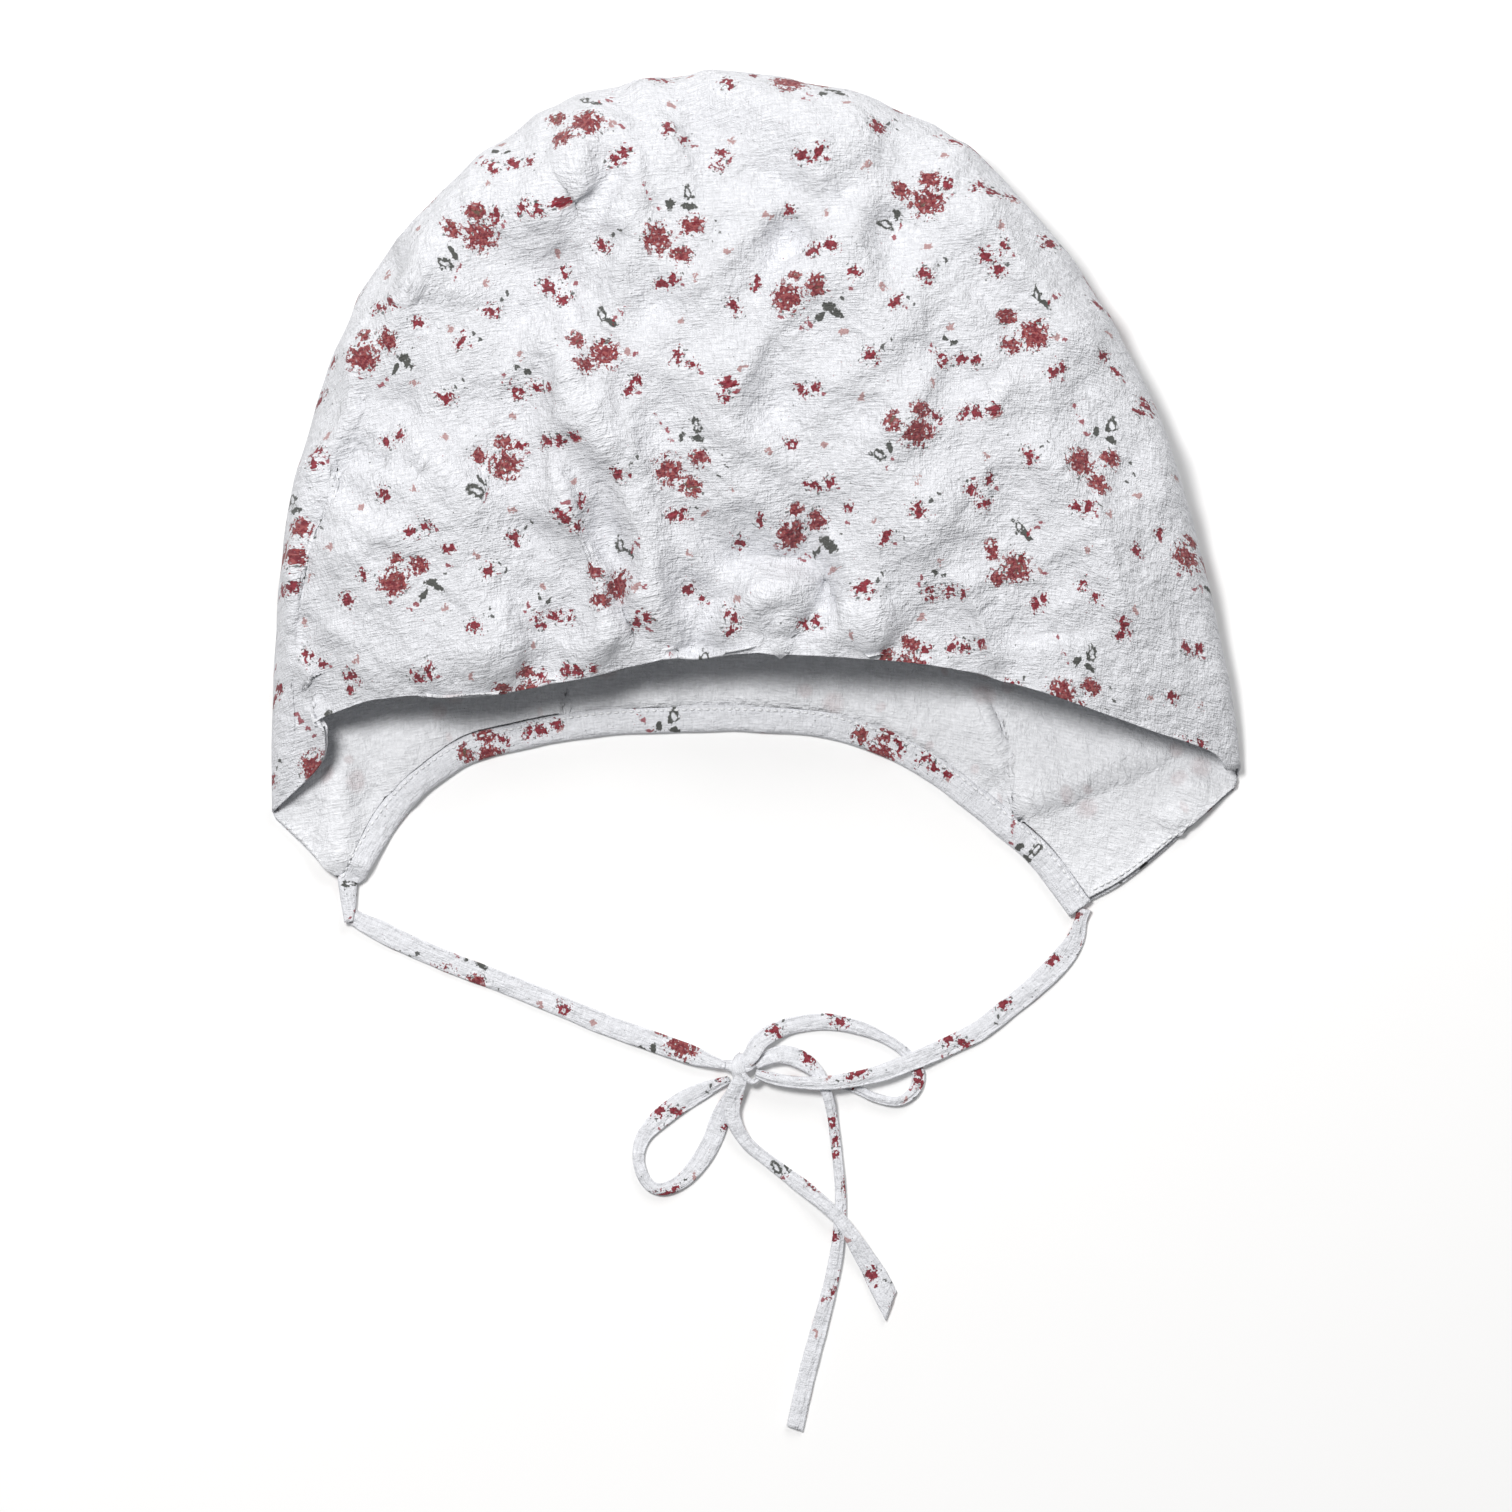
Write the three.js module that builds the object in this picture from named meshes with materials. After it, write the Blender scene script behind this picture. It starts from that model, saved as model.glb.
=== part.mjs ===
// Baby bonnet of thin printed cotton, lined, with a bound neck edge and flat ties in a bow.
// It lies on its back: crown towards +Y, face opening towards -Y, floor at Z = 0.
// Millimetres, +Z up. The origin is under the middle of the bonnet's own box, on the floor.
import * as THREE from 'three';

// Main sizes
const BONNET_WIDTH = 230;
const BONNET_DEPTH = 201;
const CROWN_HEIGHT = 36;

// Cloth and the clearance between neighbouring pieces
const OUTER_WALL = 1.0;
const LINING_WALL = 1.0;
const PIECE_GAP = 0.3;
const LINING_SET_BACK = 0.5;

// Back panel and neck binding
const BACK_PANEL_HEIGHT = 108;
const SEAM_CORNER = 0.6;
const BINDING_WIDTH = 5.6;
const BINDING_TAB = 9.5;
const BINDING_TAB_WIDTH = 4.6;
const BINDING_TAB_STEPS = 2;
const TAB_LEAN = 0.08;

// Ties and bow
const TIE_WIDTH = 4.7;
const TIE_THICKNESS = 1.2;
const TIE_PINCH = 0.5;
const TIE_PINCH_LENGTH = 9;
const TIE_STEP = 6.5;
const KNOT_RADIUS = 3.1;
const KNOT_HEIGHT = 5.0;
const KNOT_CENTRE = [-3.7, -134.9];
const KNOT_SIDES = 12;
// Outline of the knot from its foot up: shares of its radius and height
const KNOT_OUTLINE = [
  { out: 0, up: 0 },
  { out: 0.88, up: 0 },
  { out: 1, up: 0.12 },
  { out: 1, up: 0.7 },
  { out: 0.75, up: 0.94 },
  { out: 0, up: 1 },
];

// Mesh fineness
const COLUMNS_PER_SECTION = 2;
const ROWS_ON_TOP = 8;
const ROWS_IN_ROUND = 2;
const ROWS_BELOW = 4;
const SEAM_STEPS = 15;

// Share of the way from the forehead hem round to the lower edge where each stretch ends
const TOP_ENDS = 0.5;
const FOLD_AT = 0.56;
const ROUND_ENDS = 0.62;
// Half the span, in sections and in shares, over which the cloth's slope is taken
const SLOPE_STEP = 0.01;

const CLOTHS = {
  print: { color: 0xefe9e8, roughness: 0.9, metalness: 0 },
  lining: { color: 0xe9e7e6, roughness: 0.92, metalness: 0 },
};

// Sections from the left fold corner to the right one. Each runs from the forehead hem,
// over the outer fold, and back underneath to the lower edge.
// x: share of BONNET_WIDTH, y: share of BONNET_DEPTH, heights and rounds: share of CROWN_HEIGHT
const SECTION_COLUMNS = [
  'fold_x', 'fold_y', 'hem_x', 'hem_y', 'edge_x', 'edge_y',
  'hem_z', 'top_z', 'swell', 'fold_z', 'round_top', 'round_under', 'edge_z',
];
const SECTIONS = [
  [-0.500, -0.367, -0.488, -0.366, -0.494, -0.391, 0.167, 0.167, 0.00, 0.083, 0.083, 0.083, 0.000],
  [-0.500, -0.324, -0.469, -0.337, -0.466, -0.409, 0.264, 0.236, 0.00, 0.100, 0.111, 0.111, 0.011],
  [-0.499, -0.259, -0.451, -0.308, -0.447, -0.431, 0.389, 0.333, 0.00, 0.128, 0.194, 0.139, 0.017],
  [-0.497, -0.177, -0.451, -0.284, -0.430, -0.447, 0.472, 0.417, 0.00, 0.156, 0.250, 0.167, 0.017],
  [-0.489, -0.077, -0.453, -0.261, -0.418, -0.418, 0.500, 0.472, 0.01, 0.183, 0.306, 0.194, 0.008],
  [-0.472, 0.041, -0.423, -0.246, -0.394, -0.373, 0.528, 0.556, 0.03, 0.206, 0.361, 0.222, 0.000],
  [-0.449, 0.124, -0.387, -0.232, -0.366, -0.334, 0.556, 0.611, 0.04, 0.222, 0.417, 0.250, 0.000],
  [-0.418, 0.212, -0.350, -0.224, -0.334, -0.304, 0.583, 0.639, 0.06, 0.233, 0.444, 0.250, 0.000],
  [-0.382, 0.287, -0.313, -0.232, -0.297, -0.280, 0.583, 0.639, 0.07, 0.244, 0.472, 0.278, 0.000],
  [-0.339, 0.344, -0.269, -0.229, -0.255, -0.268, 0.611, 0.681, 0.08, 0.261, 0.500, 0.278, 0.000],
  [-0.274, 0.412, -0.218, -0.219, -0.214, -0.258, 0.639, 0.722, 0.10, 0.278, 0.556, 0.306, 0.000],
  [-0.197, 0.468, -0.159, -0.206, -0.161, -0.249, 0.667, 0.778, 0.11, 0.292, 0.583, 0.333, 0.000],
  [-0.107, 0.494, -0.091, -0.188, -0.091, -0.245, 0.708, 0.819, 0.11, 0.306, 0.611, 0.333, 0.000],
  [-0.012, 0.500, -0.012, -0.182, -0.012, -0.244, 0.736, 0.833, 0.11, 0.306, 0.611, 0.333, 0.000],
  [0.096, 0.482, 0.086, -0.185, 0.076, -0.252, 0.750, 0.819, 0.11, 0.306, 0.611, 0.333, 0.000],
  [0.194, 0.438, 0.178, -0.195, 0.153, -0.282, 0.750, 0.806, 0.10, 0.292, 0.583, 0.306, 0.000],
  [0.261, 0.365, 0.235, -0.209, 0.206, -0.320, 0.722, 0.778, 0.08, 0.278, 0.556, 0.306, 0.000],
  [0.318, 0.286, 0.287, -0.224, 0.256, -0.365, 0.694, 0.750, 0.07, 0.267, 0.528, 0.278, 0.000],
  [0.380, 0.184, 0.338, -0.244, 0.302, -0.412, 0.639, 0.694, 0.06, 0.250, 0.472, 0.250, 0.000],
  [0.421, 0.080, 0.375, -0.259, 0.343, -0.474, 0.569, 0.611, 0.04, 0.222, 0.417, 0.222, 0.008],
  [0.453, -0.035, 0.410, -0.273, 0.376, -0.453, 0.486, 0.500, 0.03, 0.194, 0.333, 0.194, 0.017],
  [0.477, -0.153, 0.446, -0.286, 0.415, -0.418, 0.389, 0.389, 0.01, 0.161, 0.250, 0.167, 0.017],
  [0.493, -0.247, 0.473, -0.299, 0.456, -0.377, 0.278, 0.264, 0.00, 0.117, 0.153, 0.125, 0.008],
  [0.500, -0.315, 0.487, -0.318, 0.494, -0.340, 0.167, 0.167, 0.00, 0.083, 0.083, 0.083, 0.000],
];
const LEFT_CHIN = 3;
const RIGHT_CHIN = 19;

// Folds and dents of the upper layer, each followed from its lower or left end.
// Ends and widths to the left and right: shares of width and depth, rise: share of CROWN_HEIGHT
const FOLD_COLUMNS = ['name', 'from_x', 'from_y', 'to_x', 'to_y', 'left', 'right', 'rise'];
const TOP_FOLDS = [
  ['left billow', -0.284, -0.226, -0.376, 0.071, 0.130, 0.057, 0.090],
  ['left side valley', -0.466, -0.223, -0.395, 0.070, 0.020, 0.026, -0.045],
  ['left side ridge', -0.449, -0.235, -0.485, -0.023, 0.018, 0.024, 0.045],
  ['left shoulder lap', -0.366, 0.232, -0.340, 0.345, 0.013, 0.060, 0.110],
  ['left upper dip', -0.400, 0.100, -0.310, 0.092, 0.026, 0.030, -0.036],
  ['first gather ridge', -0.147, -0.202, -0.219, 0.069, 0.030, 0.018, 0.072],
  ['gather crease', -0.124, -0.182, -0.171, 0.035, 0.018, 0.018, -0.060],
  ['second gather ridge', -0.083, -0.180, -0.217, 0.212, 0.030, 0.022, 0.075],
  ['hollow above the hem', -0.068, -0.182, -0.043, -0.076, 0.040, 0.057, -0.090],
  ['curved dip', -0.027, -0.070, 0.096, -0.136, 0.020, 0.024, -0.065],
  ['mound at the hem', -0.052, -0.167, 0.071, -0.120, 0.020, 0.055, 0.095],
  ['right mound dip', 0.084, -0.125, 0.041, -0.014, 0.020, 0.022, -0.042],
  ['slanting ridge', 0.131, -0.176, 0.088, -0.071, 0.020, 0.022, 0.055],
  ['centre ridge', 0.153, -0.118, 0.043, 0.379, 0.057, 0.040, 0.066],
  ['right crown lap', 0.374, 0.143, 0.204, 0.414, 0.060, 0.018, 0.064],
  ['right slant ridge', 0.386, -0.176, 0.221, 0.115, 0.022, 0.026, 0.045],
  ['right hollow', 0.298, -0.176, 0.312, -0.059, 0.045, 0.045, -0.036],
  ['right hem ridge', 0.250, -0.212, 0.191, -0.066, 0.022, 0.018, 0.053],
];

// Folds of the lower layer that lift it off the floor
const UNDER_FOLDS = [
  ['left chin ridge', -0.430, -0.440, -0.428, -0.288, 0.018, 0.018, 0.064],
  ['left corner wave', -0.477, -0.353, -0.464, -0.282, 0.016, 0.018, 0.038],
  ['left neck wave', -0.392, -0.341, -0.325, -0.242, 0.022, 0.022, 0.036],
  ['right chin pleat', 0.254, -0.362, 0.448, -0.282, 0.052, 0.018, 0.090],
  ['right neck wave', 0.258, -0.329, 0.211, -0.223, 0.022, 0.016, 0.050],
  ['right corner wave', 0.423, -0.388, 0.462, -0.318, 0.018, 0.018, 0.036],
];
const FOLD_FADE = 0.8;

// Seam round the back panel: across is a share of half its span, up is a share of its height
const BACK_SEAM_SPAN = { from: 10.3, to: 17.3 };
const BACK_SEAM = [
  { across: -1.0, up: 0.0 },
  { across: -0.94, up: 0.28 },
  { across: -0.85, up: 0.58 },
  { across: -0.66, up: 0.83 },
  { across: -0.35, up: 0.97 },
  { across: 0.0, up: 1.0 },
  { across: 0.3, up: 0.96 },
  { across: 0.52, up: 0.8 },
  { across: 0.62, up: 0.52 },
  { across: 0.7, up: 0.32 },
  { across: 0.84, up: 0.19 },
  { across: 0.94, up: 0.11 },
  { across: 1.0, up: 0.0 },
];

// Routes of the ties, loops and free ends: points along the middle of each flat tie
const ROUTES = {
  tie_left: [
    [-92.8, -100.4, 0.9], [-89.6, -101.9, 0.7], [-85.0, -104.3, 0.65], [-72.5, -109.7, 0.65],
    [-60.6, -114.2, 0.65], [-48.8, -118.9, 0.65], [-37.0, -123.9, 0.65], [-25.2, -128.1, 0.9],
    [-15.7, -131.4, 1.6], [-10.5, -133.1, 2.2], [-7.2, -134.0, 2.4],
  ],
  tie_right: [
    [77.0, -99.6, 0.9], [75.8, -104.0, 0.7], [73.2, -108.0, 0.65], [69.4, -112.1, 0.65],
    [64.7, -116.5, 0.65], [58.7, -121.3, 0.65], [52.8, -125.8, 0.65], [46.9, -128.8, 1.0],
    [41.0, -131.4, 1.8], [35.1, -133.8, 2.4], [29.2, -135.9, 3.0], [22.8, -137.3, 3.7],
    [16.2, -138.1, 4.0], [9.1, -137.9, 3.9], [3.7, -137.2, 3.7], [-0.1, -136.0, 3.5],
  ],
  bow_loop_left: [
    [-6.5, -137.3, 0.65], [-9.6, -138.6, 0.65], [-13.4, -140.4, 0.65], [-18.1, -143.0, 0.65],
    [-23.3, -147.0, 0.65], [-27.1, -151.5, 0.65], [-28.0, -156.7, 0.65], [-26.1, -161.7, 0.65],
    [-22.6, -163.4, 0.65], [-17.8, -161.5, 0.65], [-13.6, -157.0, 0.65], [-10.5, -151.8, 0.65],
    [-8.4, -146.1, 0.65], [-6.3, -141.4, 0.65], [-4.5, -138.5, 0.65],
  ],
  bow_loop_right: [
    [-1.4, -132.1, 3.9], [0.8, -128.3, 3.3], [4.6, -125.8, 1.8], [9.6, -124.3, 0.8],
    [16.9, -123.6, 0.65], [24.5, -125.1, 0.65], [31.1, -127.9, 0.65], [35.8, -131.4, 0.65],
    [38.4, -135.7, 0.65], [37.5, -139.9, 0.65], [33.7, -142.5, 0.65], [28.2, -141.6, 0.65],
    [22.3, -139.0, 0.65], [15.5, -138.1, 0.65], [7.9, -137.6, 0.65], [3.2, -136.6, 0.65],
    [-0.2, -135.7, 0.65],
  ],
  tie_end_left: [
    [-4.1, -138.5, 3.6], [-5.3, -141.1, 3.0], [-5.8, -144.7, 2.4], [-4.8, -148.5, 1.8],
    [-2.0, -152.7, 1.2], [2.0, -156.0, 0.9], [6.7, -159.6, 0.9], [11.7, -163.4, 1.5],
    [16.0, -166.9, 2.2], [19.7, -170.4, 2.4], [22.6, -174.5, 2.2], [25.2, -178.7, 1.4],
    [27.8, -183.0, 0.65], [30.1, -187.5, 0.65], [32.0, -191.2, 0.65],
  ],
  tie_end_right: [
    [-0.2, -133.9, 2.1], [3.2, -132.0, 2.1], [7.0, -131.4, 2.1], [11.0, -132.9, 2.1],
    [14.0, -135.3, 2.25], [15.7, -138.2, 2.35], [17.1, -141.8, 2.2], [18.1, -146.6, 1.1],
    [18.8, -152.5, 0.65], [19.5, -158.9, 0.65], [20.0, -165.5, 0.65], [19.7, -172.6, 0.65],
    [18.8, -180.1, 0.65], [17.1, -188.2, 0.65], [15.0, -196.2, 0.65], [12.9, -203.8, 0.65],
    [11.0, -211.6, 0.65], [9.1, -220.3, 0.65],
  ],
};
// Which ends of each route are pinched where they enter the knot
const PINCHED = {
  tie_left: { start: false, end: true },
  tie_right: { start: false, end: true },
  bow_loop_left: { start: true, end: true },
  bow_loop_right: { start: true, end: true },
  tie_end_left: { start: true, end: false },
  tie_end_right: { start: true, end: false },
};

// Rows of a table as objects with the columns' names
function named(columns, rows) {
  return rows.map((row) => Object.fromEntries(columns.map((name, i) => [name, row[i]])));
}

const sections = named(SECTION_COLUMNS, SECTIONS);
const topFolds = named(FOLD_COLUMNS, TOP_FOLDS);
const underFolds = named(FOLD_COLUMNS, UNDER_FOLDS);
const LAST = sections.length - 1;

// One value between table rows on a smooth curve. The lower edge turns sharply at the chins.
function along(name, u) {
  const i = Math.min(Math.floor(u), LAST - 1);
  const turns = (k) => name.startsWith('edge') && (k === LEFT_CHIN || k === RIGHT_CHIN);
  const b = sections[i][name];
  const c = sections[i + 1][name];
  const a = i === 0 || turns(i) ? 2 * b - c : sections[i - 1][name];
  const d = i + 1 === LAST || turns(i + 1) ? 2 * c - b : sections[i + 2][name];
  const f = u - i;
  const slopes = [(c - a) / 2, (d - b) / 2];
  const f2 = f * f;
  const f3 = f2 * f;
  return (2 * f3 - 3 * f2 + 1) * b + (f3 - 2 * f2 + f) * slopes[0]
    + (3 * f2 - 2 * f3) * c + (f3 - f2) * slopes[1];
}

function planPoint(u, which) {
  return new THREE.Vector2(along(`${which}_x`, u) * BONNET_WIDTH, along(`${which}_y`, u) * BONNET_DEPTH);
}

function foldLift(folds, x, y) {
  let lift = 0;
  for (const fold of folds) {
    const ax = fold.from_x * BONNET_WIDTH;
    const ay = fold.from_y * BONNET_DEPTH;
    const bx = fold.to_x * BONNET_WIDTH - ax;
    const by = fold.to_y * BONNET_DEPTH - ay;
    const length = Math.hypot(bx, by);
    const t = ((x - ax) * bx + (y - ay) * by) / (length * length);
    if (t <= 0 || t >= 1) continue;
    const across = ((x - ax) * by - (y - ay) * bx) / length;
    const width = BONNET_WIDTH * (across < 0 ? fold.left : fold.right);
    lift += fold.rise * Math.sin(Math.PI * t) ** FOLD_FADE * Math.exp(-((across / width) ** 2));
  }
  return lift * CROWN_HEIGHT;
}

// The bonnet's outside: u counts sections from left to right, v runs from hem to lower edge
function outside(u, v) {
  const fold = planPoint(u, 'fold');
  const foldZ = along('fold_z', u) * CROWN_HEIGHT;
  const onTop = v <= FOLD_AT;
  const end = planPoint(u, onTop ? 'hem' : 'edge');
  const endZ = along(onTop ? 'hem_z' : 'edge_z', u) * CROWN_HEIGHT;
  const round = along(onTop ? 'round_top' : 'round_under', u) * CROWN_HEIGHT;
  const inward = end.clone().sub(fold);
  const reach = inward.length();
  inward.divideScalar(reach);
  let distance;
  let z;
  let weight = 1;
  if (onTop) {
    const topZ = along('top_z', u) * CROWN_HEIGHT;
    const swell = along('swell', u) * CROWN_HEIGHT;
    if (v <= TOP_ENDS) {
      const t = v / TOP_ENDS;
      distance = reach + (round - reach) * t;
      z = endZ + (topZ - endZ) * (1 - (1 - t) ** 2) + swell * Math.sin(Math.PI * t) ** 2;
    } else {
      const turn = (Math.PI / 2) * (v - TOP_ENDS) / (FOLD_AT - TOP_ENDS);
      distance = round * (1 - Math.sin(turn));
      z = foldZ + (topZ - foldZ) * Math.cos(turn);
      weight = Math.cos(turn) ** 2;
    }
  } else if (v <= ROUND_ENDS) {
    const turn = (Math.PI / 2) * (v - FOLD_AT) / (ROUND_ENDS - FOLD_AT);
    distance = round * (1 - Math.cos(turn));
    z = foldZ * (1 - Math.sin(turn));
    weight = 0;
  } else {
    const t = (v - ROUND_ENDS) / (1 - ROUND_ENDS);
    distance = round + (reach - round) * t;
    z = endZ * t * t;
    weight = t;
  }
  const x = fold.x + inward.x * distance;
  const y = fold.y + inward.y * distance;
  z += weight * foldLift(onTop ? topFolds : underFolds, x, y);
  return new THREE.Vector3(x, y, z);
}

// A point of the cloth, set in from the outside at right angles to it
function cloth(u, v, inset) {
  const u0 = Math.max(0, u - SLOPE_STEP);
  const u1 = Math.min(LAST, u + SLOPE_STEP);
  const v0 = Math.max(0, v - SLOPE_STEP);
  const v1 = Math.min(1, v + SLOPE_STEP);
  const alongU = outside(u1, v).sub(outside(u0, v));
  const alongV = outside(u, v1).sub(outside(u, v0));
  const outward = alongU.cross(alongV).normalize();
  return outside(u, v).addScaledVector(outward, -inset);
}

// A closed solid between two grids of points that share their layout
function closedSheet(front, back) {
  const columns = front.length;
  const rows = front[0].length;
  const points = [...front.flat(), ...back.flat()];
  const at = (side, i, j) => side * columns * rows + i * rows + j;
  const faces = [];
  const quad = (a, b, c, d) => faces.push([a, b, c], [a, c, d]);
  for (let i = 0; i < columns - 1; i += 1) {
    for (let j = 0; j < rows - 1; j += 1) {
      quad(at(0, i, j), at(0, i + 1, j), at(0, i + 1, j + 1), at(0, i, j + 1));
      quad(at(1, i, j), at(1, i, j + 1), at(1, i + 1, j + 1), at(1, i + 1, j));
    }
  }
  for (let i = 0; i < columns - 1; i += 1) {
    quad(at(0, i, 0), at(1, i, 0), at(1, i + 1, 0), at(0, i + 1, 0));
    quad(at(0, i, rows - 1), at(0, i + 1, rows - 1), at(1, i + 1, rows - 1), at(1, i, rows - 1));
  }
  for (let j = 0; j < rows - 1; j += 1) {
    quad(at(0, 0, j), at(0, 0, j + 1), at(1, 0, j + 1), at(1, 0, j));
    quad(at(0, columns - 1, j), at(1, columns - 1, j), at(1, columns - 1, j + 1), at(0, columns - 1, j + 1));
  }
  return solidFrom(points, faces);
}

function solidFrom(points, faces) {
  let volume = 0;
  for (const [a, b, c] of faces) {
    volume += points[a].dot(points[b].clone().cross(points[c]));
  }
  const outwardFaces = volume > 0 ? faces : faces.map(([a, b, c]) => [a, c, b]);
  const geometry = new THREE.BufferGeometry();
  geometry.setAttribute('position', new THREE.Float32BufferAttribute(points.flatMap((p) => p.toArray()), 3));
  geometry.setIndex(outwardFaces.flat());
  geometry.computeVertexNormals();
  return geometry;
}

// Share of the way round where the back panel's seam lies, at a height above the neck edge
function seamShare(u, up) {
  const fold = planPoint(u, 'fold');
  const edge = planPoint(u, 'edge');
  const flat = fold.distanceTo(edge) - along('round_under', u) * CROWN_HEIGHT;
  return 1 - (1 - ROUND_ENDS) * (up * BACK_PANEL_HEIGHT) / flat;
}

// The seam as columns of the cloth, moved out or in from its own line by a margin
function seamLine(margin) {
  const curve = new THREE.SplineCurve(BACK_SEAM.map((row) => new THREE.Vector2(row.across, row.up)));
  const middle = (BACK_SEAM_SPAN.from + BACK_SEAM_SPAN.to) / 2;
  const half = (BACK_SEAM_SPAN.to - BACK_SEAM_SPAN.from) / 2;
  const span = planPoint(BACK_SEAM_SPAN.from, 'edge').distanceTo(planPoint(BACK_SEAM_SPAN.to, 'edge'));
  const line = [];
  for (let k = 0; k <= SEAM_STEPS; k += 1) {
    const p = curve.getPointAt(k / SEAM_STEPS);
    const u = middle + half * p.x * (1 + margin / (span / 2));
    const up = k === 0 || k === SEAM_STEPS ? 0 : p.y + margin / BACK_PANEL_HEIGHT;
    line.push({ u, v: seamShare(u, Math.max(0, up)) });
  }
  return line;
}

// Columns of the band: evenly spaced beside the back panel, on the seam's points within it
function bandColumns() {
  const seam = seamLine(PIECE_GAP / 2);
  const columns = [];
  const evenly = (from, to) => {
    const count = Math.round((to - from) * COLUMNS_PER_SECTION);
    for (let k = 0; k < count; k += 1) columns.push({ u: from + (to - from) * k / count, v: 1 });
  };
  evenly(0, LEFT_CHIN);
  evenly(LEFT_CHIN, seam[0].u);
  columns.push(...seam.slice(0, -1));
  evenly(seam[SEAM_STEPS].u, RIGHT_CHIN);
  evenly(RIGHT_CHIN, LAST);
  columns.push({ u: LAST, v: 1 });
  return columns;
}

// Rows of one column of the band, from the hem to its own lower end
function bandRows(start, end) {
  const rows = [];
  const stretch = (from, to, count) => {
    for (let k = 0; k < count; k += 1) rows.push(from + (to - from) * k / count);
  };
  stretch(start, TOP_ENDS, ROWS_ON_TOP);
  stretch(TOP_ENDS, FOLD_AT, ROWS_IN_ROUND);
  stretch(FOLD_AT, ROUND_ENDS, ROWS_IN_ROUND);
  stretch(ROUND_ENDS, end, ROWS_BELOW);
  rows.push(end);
  return rows;
}

// How much of the way round a length along the cloth takes, beside the hem or the lower edge
function shareOf(length, u, end) {
  const part = end === 'hem' ? TOP_ENDS : 1 - ROUND_ENDS;
  return part * length / planPoint(u, 'fold').distanceTo(planPoint(u, end));
}

function bandSolid(inset, wall, setBack) {
  const grid = (depth) => bandColumns().map(({ u, v }) => {
    const start = shareOf(setBack, u, 'hem');
    const end = v - (v === 1 ? shareOf(setBack, u, 'edge') : 0);
    return bandRows(start, end).map((row) => cloth(u, row, depth));
  });
  return closedSheet(grid(inset), grid(inset + wall));
}

function backSolid(inset, wall, setBack) {
  const grid = (depth) => seamLine(-PIECE_GAP / 2).map(({ u, v }) => {
    const end = 1 - shareOf(setBack, u, 'edge');
    const start = Math.min(v, end - shareOf(SEAM_CORNER, u, 'edge'));
    const column = [];
    for (let k = 0; k <= ROWS_BELOW; k += 1) {
      column.push(cloth(u, start + (end - start) * k / ROWS_BELOW, depth));
    }
    return column;
  });
  return closedSheet(grid(inset), grid(inset + wall));
}

// The binding follows the neck edge and runs on past the left chin as a short tab
function bindingSolid() {
  const height = OUTER_WALL + PIECE_GAP + LINING_WALL;
  const steps = COLUMNS_PER_SECTION * (RIGHT_CHIN - LEFT_CHIN);
  const inner = [];
  for (let k = 0; k <= steps; k += 1) {
    inner.push(outside(LEFT_CHIN + (RIGHT_CHIN - LEFT_CHIN) * k / steps, 1));
  }
  const stations = inner.map((point, k) => {
    const before = inner[Math.max(0, k - 1)];
    const after = inner[Math.min(steps, k + 1)];
    const run = after.clone().sub(before).setZ(0).normalize();
    return { point, outward: new THREE.Vector3(run.y, -run.x, 0), width: BINDING_WIDTH };
  });
  const tabStart = stations[0];
  const run = new THREE.Vector3(TAB_LEAN, -1, 0).normalize();
  const side = new THREE.Vector3(-run.y, run.x, 0);
  for (let k = 1; k <= BINDING_TAB_STEPS; k += 1) {
    const point = tabStart.point.clone().addScaledVector(run, BINDING_TAB * k / BINDING_TAB_STEPS);
    stations.unshift({ point, outward: side, width: BINDING_TAB_WIDTH });
  }
  const ring = stations.map(({ point, outward, width }) => [
    [PIECE_GAP, 0], [PIECE_GAP + width, 0], [PIECE_GAP + width, height], [PIECE_GAP, height],
  ].map(([out, z]) => point.clone().addScaledVector(outward, out).setZ(point.z + z)));
  return ringSolid(ring);
}

// A closed solid through rings of equal corner count, with a flat cap on each end
function ringSolid(rings) {
  const sides = rings[0].length;
  const points = rings.flat();
  const faces = [];
  for (let i = 0; i < rings.length - 1; i += 1) {
    for (let j = 0; j < sides; j += 1) {
      const next = (j + 1) % sides;
      faces.push([i * sides + j, (i + 1) * sides + j, (i + 1) * sides + next]);
      faces.push([i * sides + j, (i + 1) * sides + next, i * sides + next]);
    }
  }
  const last = (rings.length - 1) * sides;
  for (let j = 1; j < sides - 1; j += 1) {
    faces.push([0, j, j + 1]);
    faces.push([last, last + j + 1, last + j]);
  }
  return solidFrom(points, faces);
}

// Cross-section of a flat tie, eight corners, as shares of its width and thickness
const TIE_SECTION = [
  [-0.5, -0.25], [-0.42, -0.5], [0.42, -0.5], [0.5, -0.25],
  [0.5, 0.25], [0.42, 0.5], [-0.42, 0.5], [-0.5, 0.25],
];

function tieSolid(name) {
  const curve = new THREE.CatmullRomCurve3(ROUTES[name].map((p) => new THREE.Vector3(...p)));
  const length = curve.getLength();
  const steps = Math.round(length / TIE_STEP);
  const rings = [];
  for (let k = 0; k <= steps; k += 1) {
    const middle = curve.getPointAt(k / steps);
    const run = curve.getTangentAt(k / steps);
    const across = new THREE.Vector3(-run.y, run.x, 0).normalize();
    const up = new THREE.Vector3().crossVectors(run, across).normalize();
    const fromStart = PINCHED[name].start ? length * k / steps : Infinity;
    const fromEnd = PINCHED[name].end ? length * (1 - k / steps) : Infinity;
    const opened = Math.min(1, Math.min(fromStart, fromEnd) / TIE_PINCH_LENGTH);
    const width = TIE_WIDTH * (TIE_PINCH + (1 - TIE_PINCH) * opened);
    rings.push(TIE_SECTION.map(([a, b]) => middle.clone()
      .addScaledVector(across, a * width)
      .addScaledVector(up, b * TIE_THICKNESS)));
  }
  return ringSolid(rings);
}

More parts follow.
